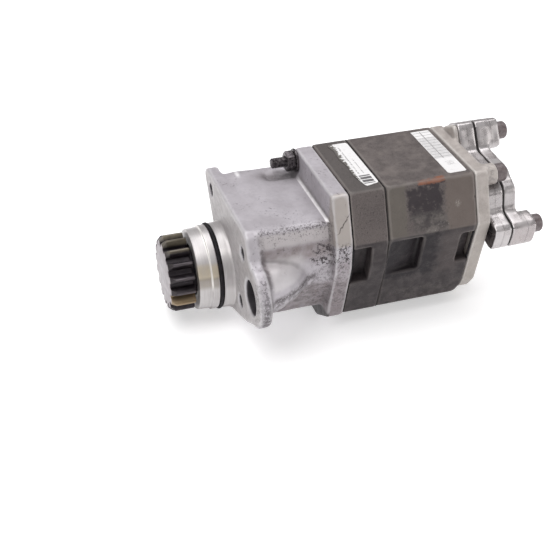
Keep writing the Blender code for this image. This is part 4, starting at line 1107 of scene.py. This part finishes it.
def fasteners():
    bolt = plain_metal("bolt_steel", (0.12, 0.10, 0.102), (0.20, 0.172, 0.175), 0.45, 0.42, 2.5,
                       rust=(0.15, 0.11, 0.10))
    black = plain_metal("black_oxide_steel", (0.035, 0.029, 0.034), (0.15, 0.135, 0.14), 0.75, 0.27, 2.2)
    for node in ("body_bolt_near_top", "body_bolt_far_bottom", "body_bolt_near_bottom",
                 "port_bolt_upper", "port_bolt_lower"):
        cap_screw("screw_" + node, node, bolt, 8.4, 10.0, 5.0, 8.0)
    for node in ("pad_screw_upper", "pad_screw_lower"):
        cap_screw("screw_" + node, node, black, 5.4, 5.6, 3.0, 5.0)
    centre = centre_of("tie_stud")
    for make in (stud, nut, washer):
        make(centre, black)


def carried_over(looks):
    """CAD nodes whose shape stays, each given the procedural look of its group."""
    for look, names in looks:
        for name in names:
            data = NODES[name].data
            data.materials.clear()
            data.materials.append(look)


# ---- Floor, lights, camera ----
def floor():
    half = 6.0
    bm = bmesh.new()
    bmesh.ops.create_grid(bm, x_segments=8, y_segments=8, size=half)
    mesh = bpy.data.meshes.new("studio_floor")
    bm.to_mesh(mesh)
    bm.free()
    made = linked("studio_floor", mesh)
    made.location = (0.0, 0.0, CAD_LOW.z - 0.0004)
    look = bpy.data.materials.new("pale_floor")
    look.use_nodes = True
    tree = look.node_tree
    shader = tree.nodes["Principled BSDF"]
    grain = tree.nodes.new("ShaderNodeTexNoise")
    grain.inputs["Scale"].default_value = 3.0
    tone = tree.nodes.new("ShaderNodeMix")
    tone.data_type = "RGBA"
    tone.inputs[6].default_value = (0.80, 0.80, 0.805, 1.0)
    tone.inputs[7].default_value = (0.82, 0.82, 0.82, 1.0)
    tree.links.new(grain.outputs["Fac"], tone.inputs[0])
    tree.links.new(tone.outputs[2], shader.inputs["Base Color"])
    values = {"Roughness": 0.9, "Specular IOR Level": 0.1,
              "Emission Color": (1.0, 1.0, 1.0, 1.0), "Emission Strength": 0.45}
    for name, value in values.items():
        shader.inputs[name].default_value = value
    mesh.materials.append(look)


def softbox(name, place, target, width, height, power, tint):
    light = bpy.data.lights.new(name, "AREA")
    light.shape = "RECTANGLE"
    light.size = width
    light.size_y = height
    light.energy = power
    light.color = tint
    made = linked(name, light)
    made.location = place
    made.rotation_mode = "QUATERNION"
    made.rotation_quaternion = (Vector(target) - Vector(place)).to_track_quat("-Z", "Y")


def studio():
    world = bpy.data.worlds.new("studio")
    bpy.context.scene.world = world
    world.use_nodes = True
    tree = world.node_tree
    back = tree.nodes["Background"]
    where = tree.nodes.new("ShaderNodeTexCoord")
    split = tree.nodes.new("ShaderNodeSeparateXYZ")
    height = tree.nodes.new("ShaderNodeMapRange")
    tone = tree.nodes.new("ShaderNodeMix")
    tone.data_type = "RGBA"
    tree.links.new(where.outputs["Generated"], split.inputs[0])
    tree.links.new(split.outputs["Z"], height.inputs["Value"])
    height.inputs["From Min"].default_value = 0.0
    height.inputs["From Max"].default_value = 0.9
    tone.inputs[6].default_value = (0.62, 0.60, 0.60, 1.0)
    tone.inputs[7].default_value = (1.0, 0.99, 1.0, 1.0)
    tree.links.new(height.outputs[0], tone.inputs[0])
    tree.links.new(tone.outputs[2], back.inputs["Color"])
    back.inputs["Strength"].default_value = 0.5
    middle = (0.0, 0.0, 0.08)
    softbox("key_light", (-0.75, -0.35, 1.6), middle, 1.2, 1.2, 14.0, (1.0, 0.99, 0.985))
    softbox("top_light", (0.3, 0.5, 1.7), middle, 1.6, 1.2, 15.0, (0.99, 0.99, 1.0))
    softbox("side_light", (1.5, -1.2, 0.7), middle, 0.9, 0.9, 5.0, (1.0, 0.985, 0.97))


def camera():
    data = bpy.data.cameras.new("camera")
    data.sensor_width = 36.0
    data.lens = 70.67
    data.clip_start = 0.05
    data.clip_end = 50.0
    made = linked("camera", data)
    right = Vector((0.9513, -0.3082, 0.0)).normalized()
    forward = Vector((0.2549, 0.7869, -0.5619)).normalized()
    up = right.cross(forward)
    turn = Matrix((right, up, -forward)).transposed().to_4x4()
    made.matrix_world = Matrix.Translation((-0.3262, -0.79054, 0.6088)) @ turn
    bpy.context.scene.camera = made


def main():
    camera()
    studio()
    floor()
    bpy.context.scene.view_settings.view_transform = "Standard"
    black_rubber = rubber()
    sheet = gasket_sheet()
    steel = plain_metal("ground_steel", (0.26, 0.25, 0.255), (0.36, 0.345, 0.35), 0.8, 0.3)
    bronze = plain_metal("bearing_bronze", (0.32, 0.2, 0.09), (0.48, 0.31, 0.14), 0.8, 0.35)
    adapter(cast_alloy(), machined_alloy())
    gear_bodies()
    cover()
    outlet_castings()
    pinion(pinion_steel())
    oring(black_rubber)
    fasteners()
    carried_over((
        (steel, ("drive_shaft", "pinion_key", "gear_key_front", "gear_key_rear", "drive_gear_front",
                 "drive_gear_rear", "idler_gear_front", "idler_gear_rear", "dowel_pin_1", "dowel_pin_2")),
        (bronze, ("bearing_block_front", "bearing_block_centre", "bearing_block_rear", "front_bush")),
        (black_rubber, ("shaft_seal", "front_joint_seal", "rear_joint_seal", "outlet_seal")),
        (sheet, ("centre_gasket", "port_gasket")),
        (label_front_film(), ("label_front",)),
        (label_rear_film(), ("label_rear",)),
    ))


main()
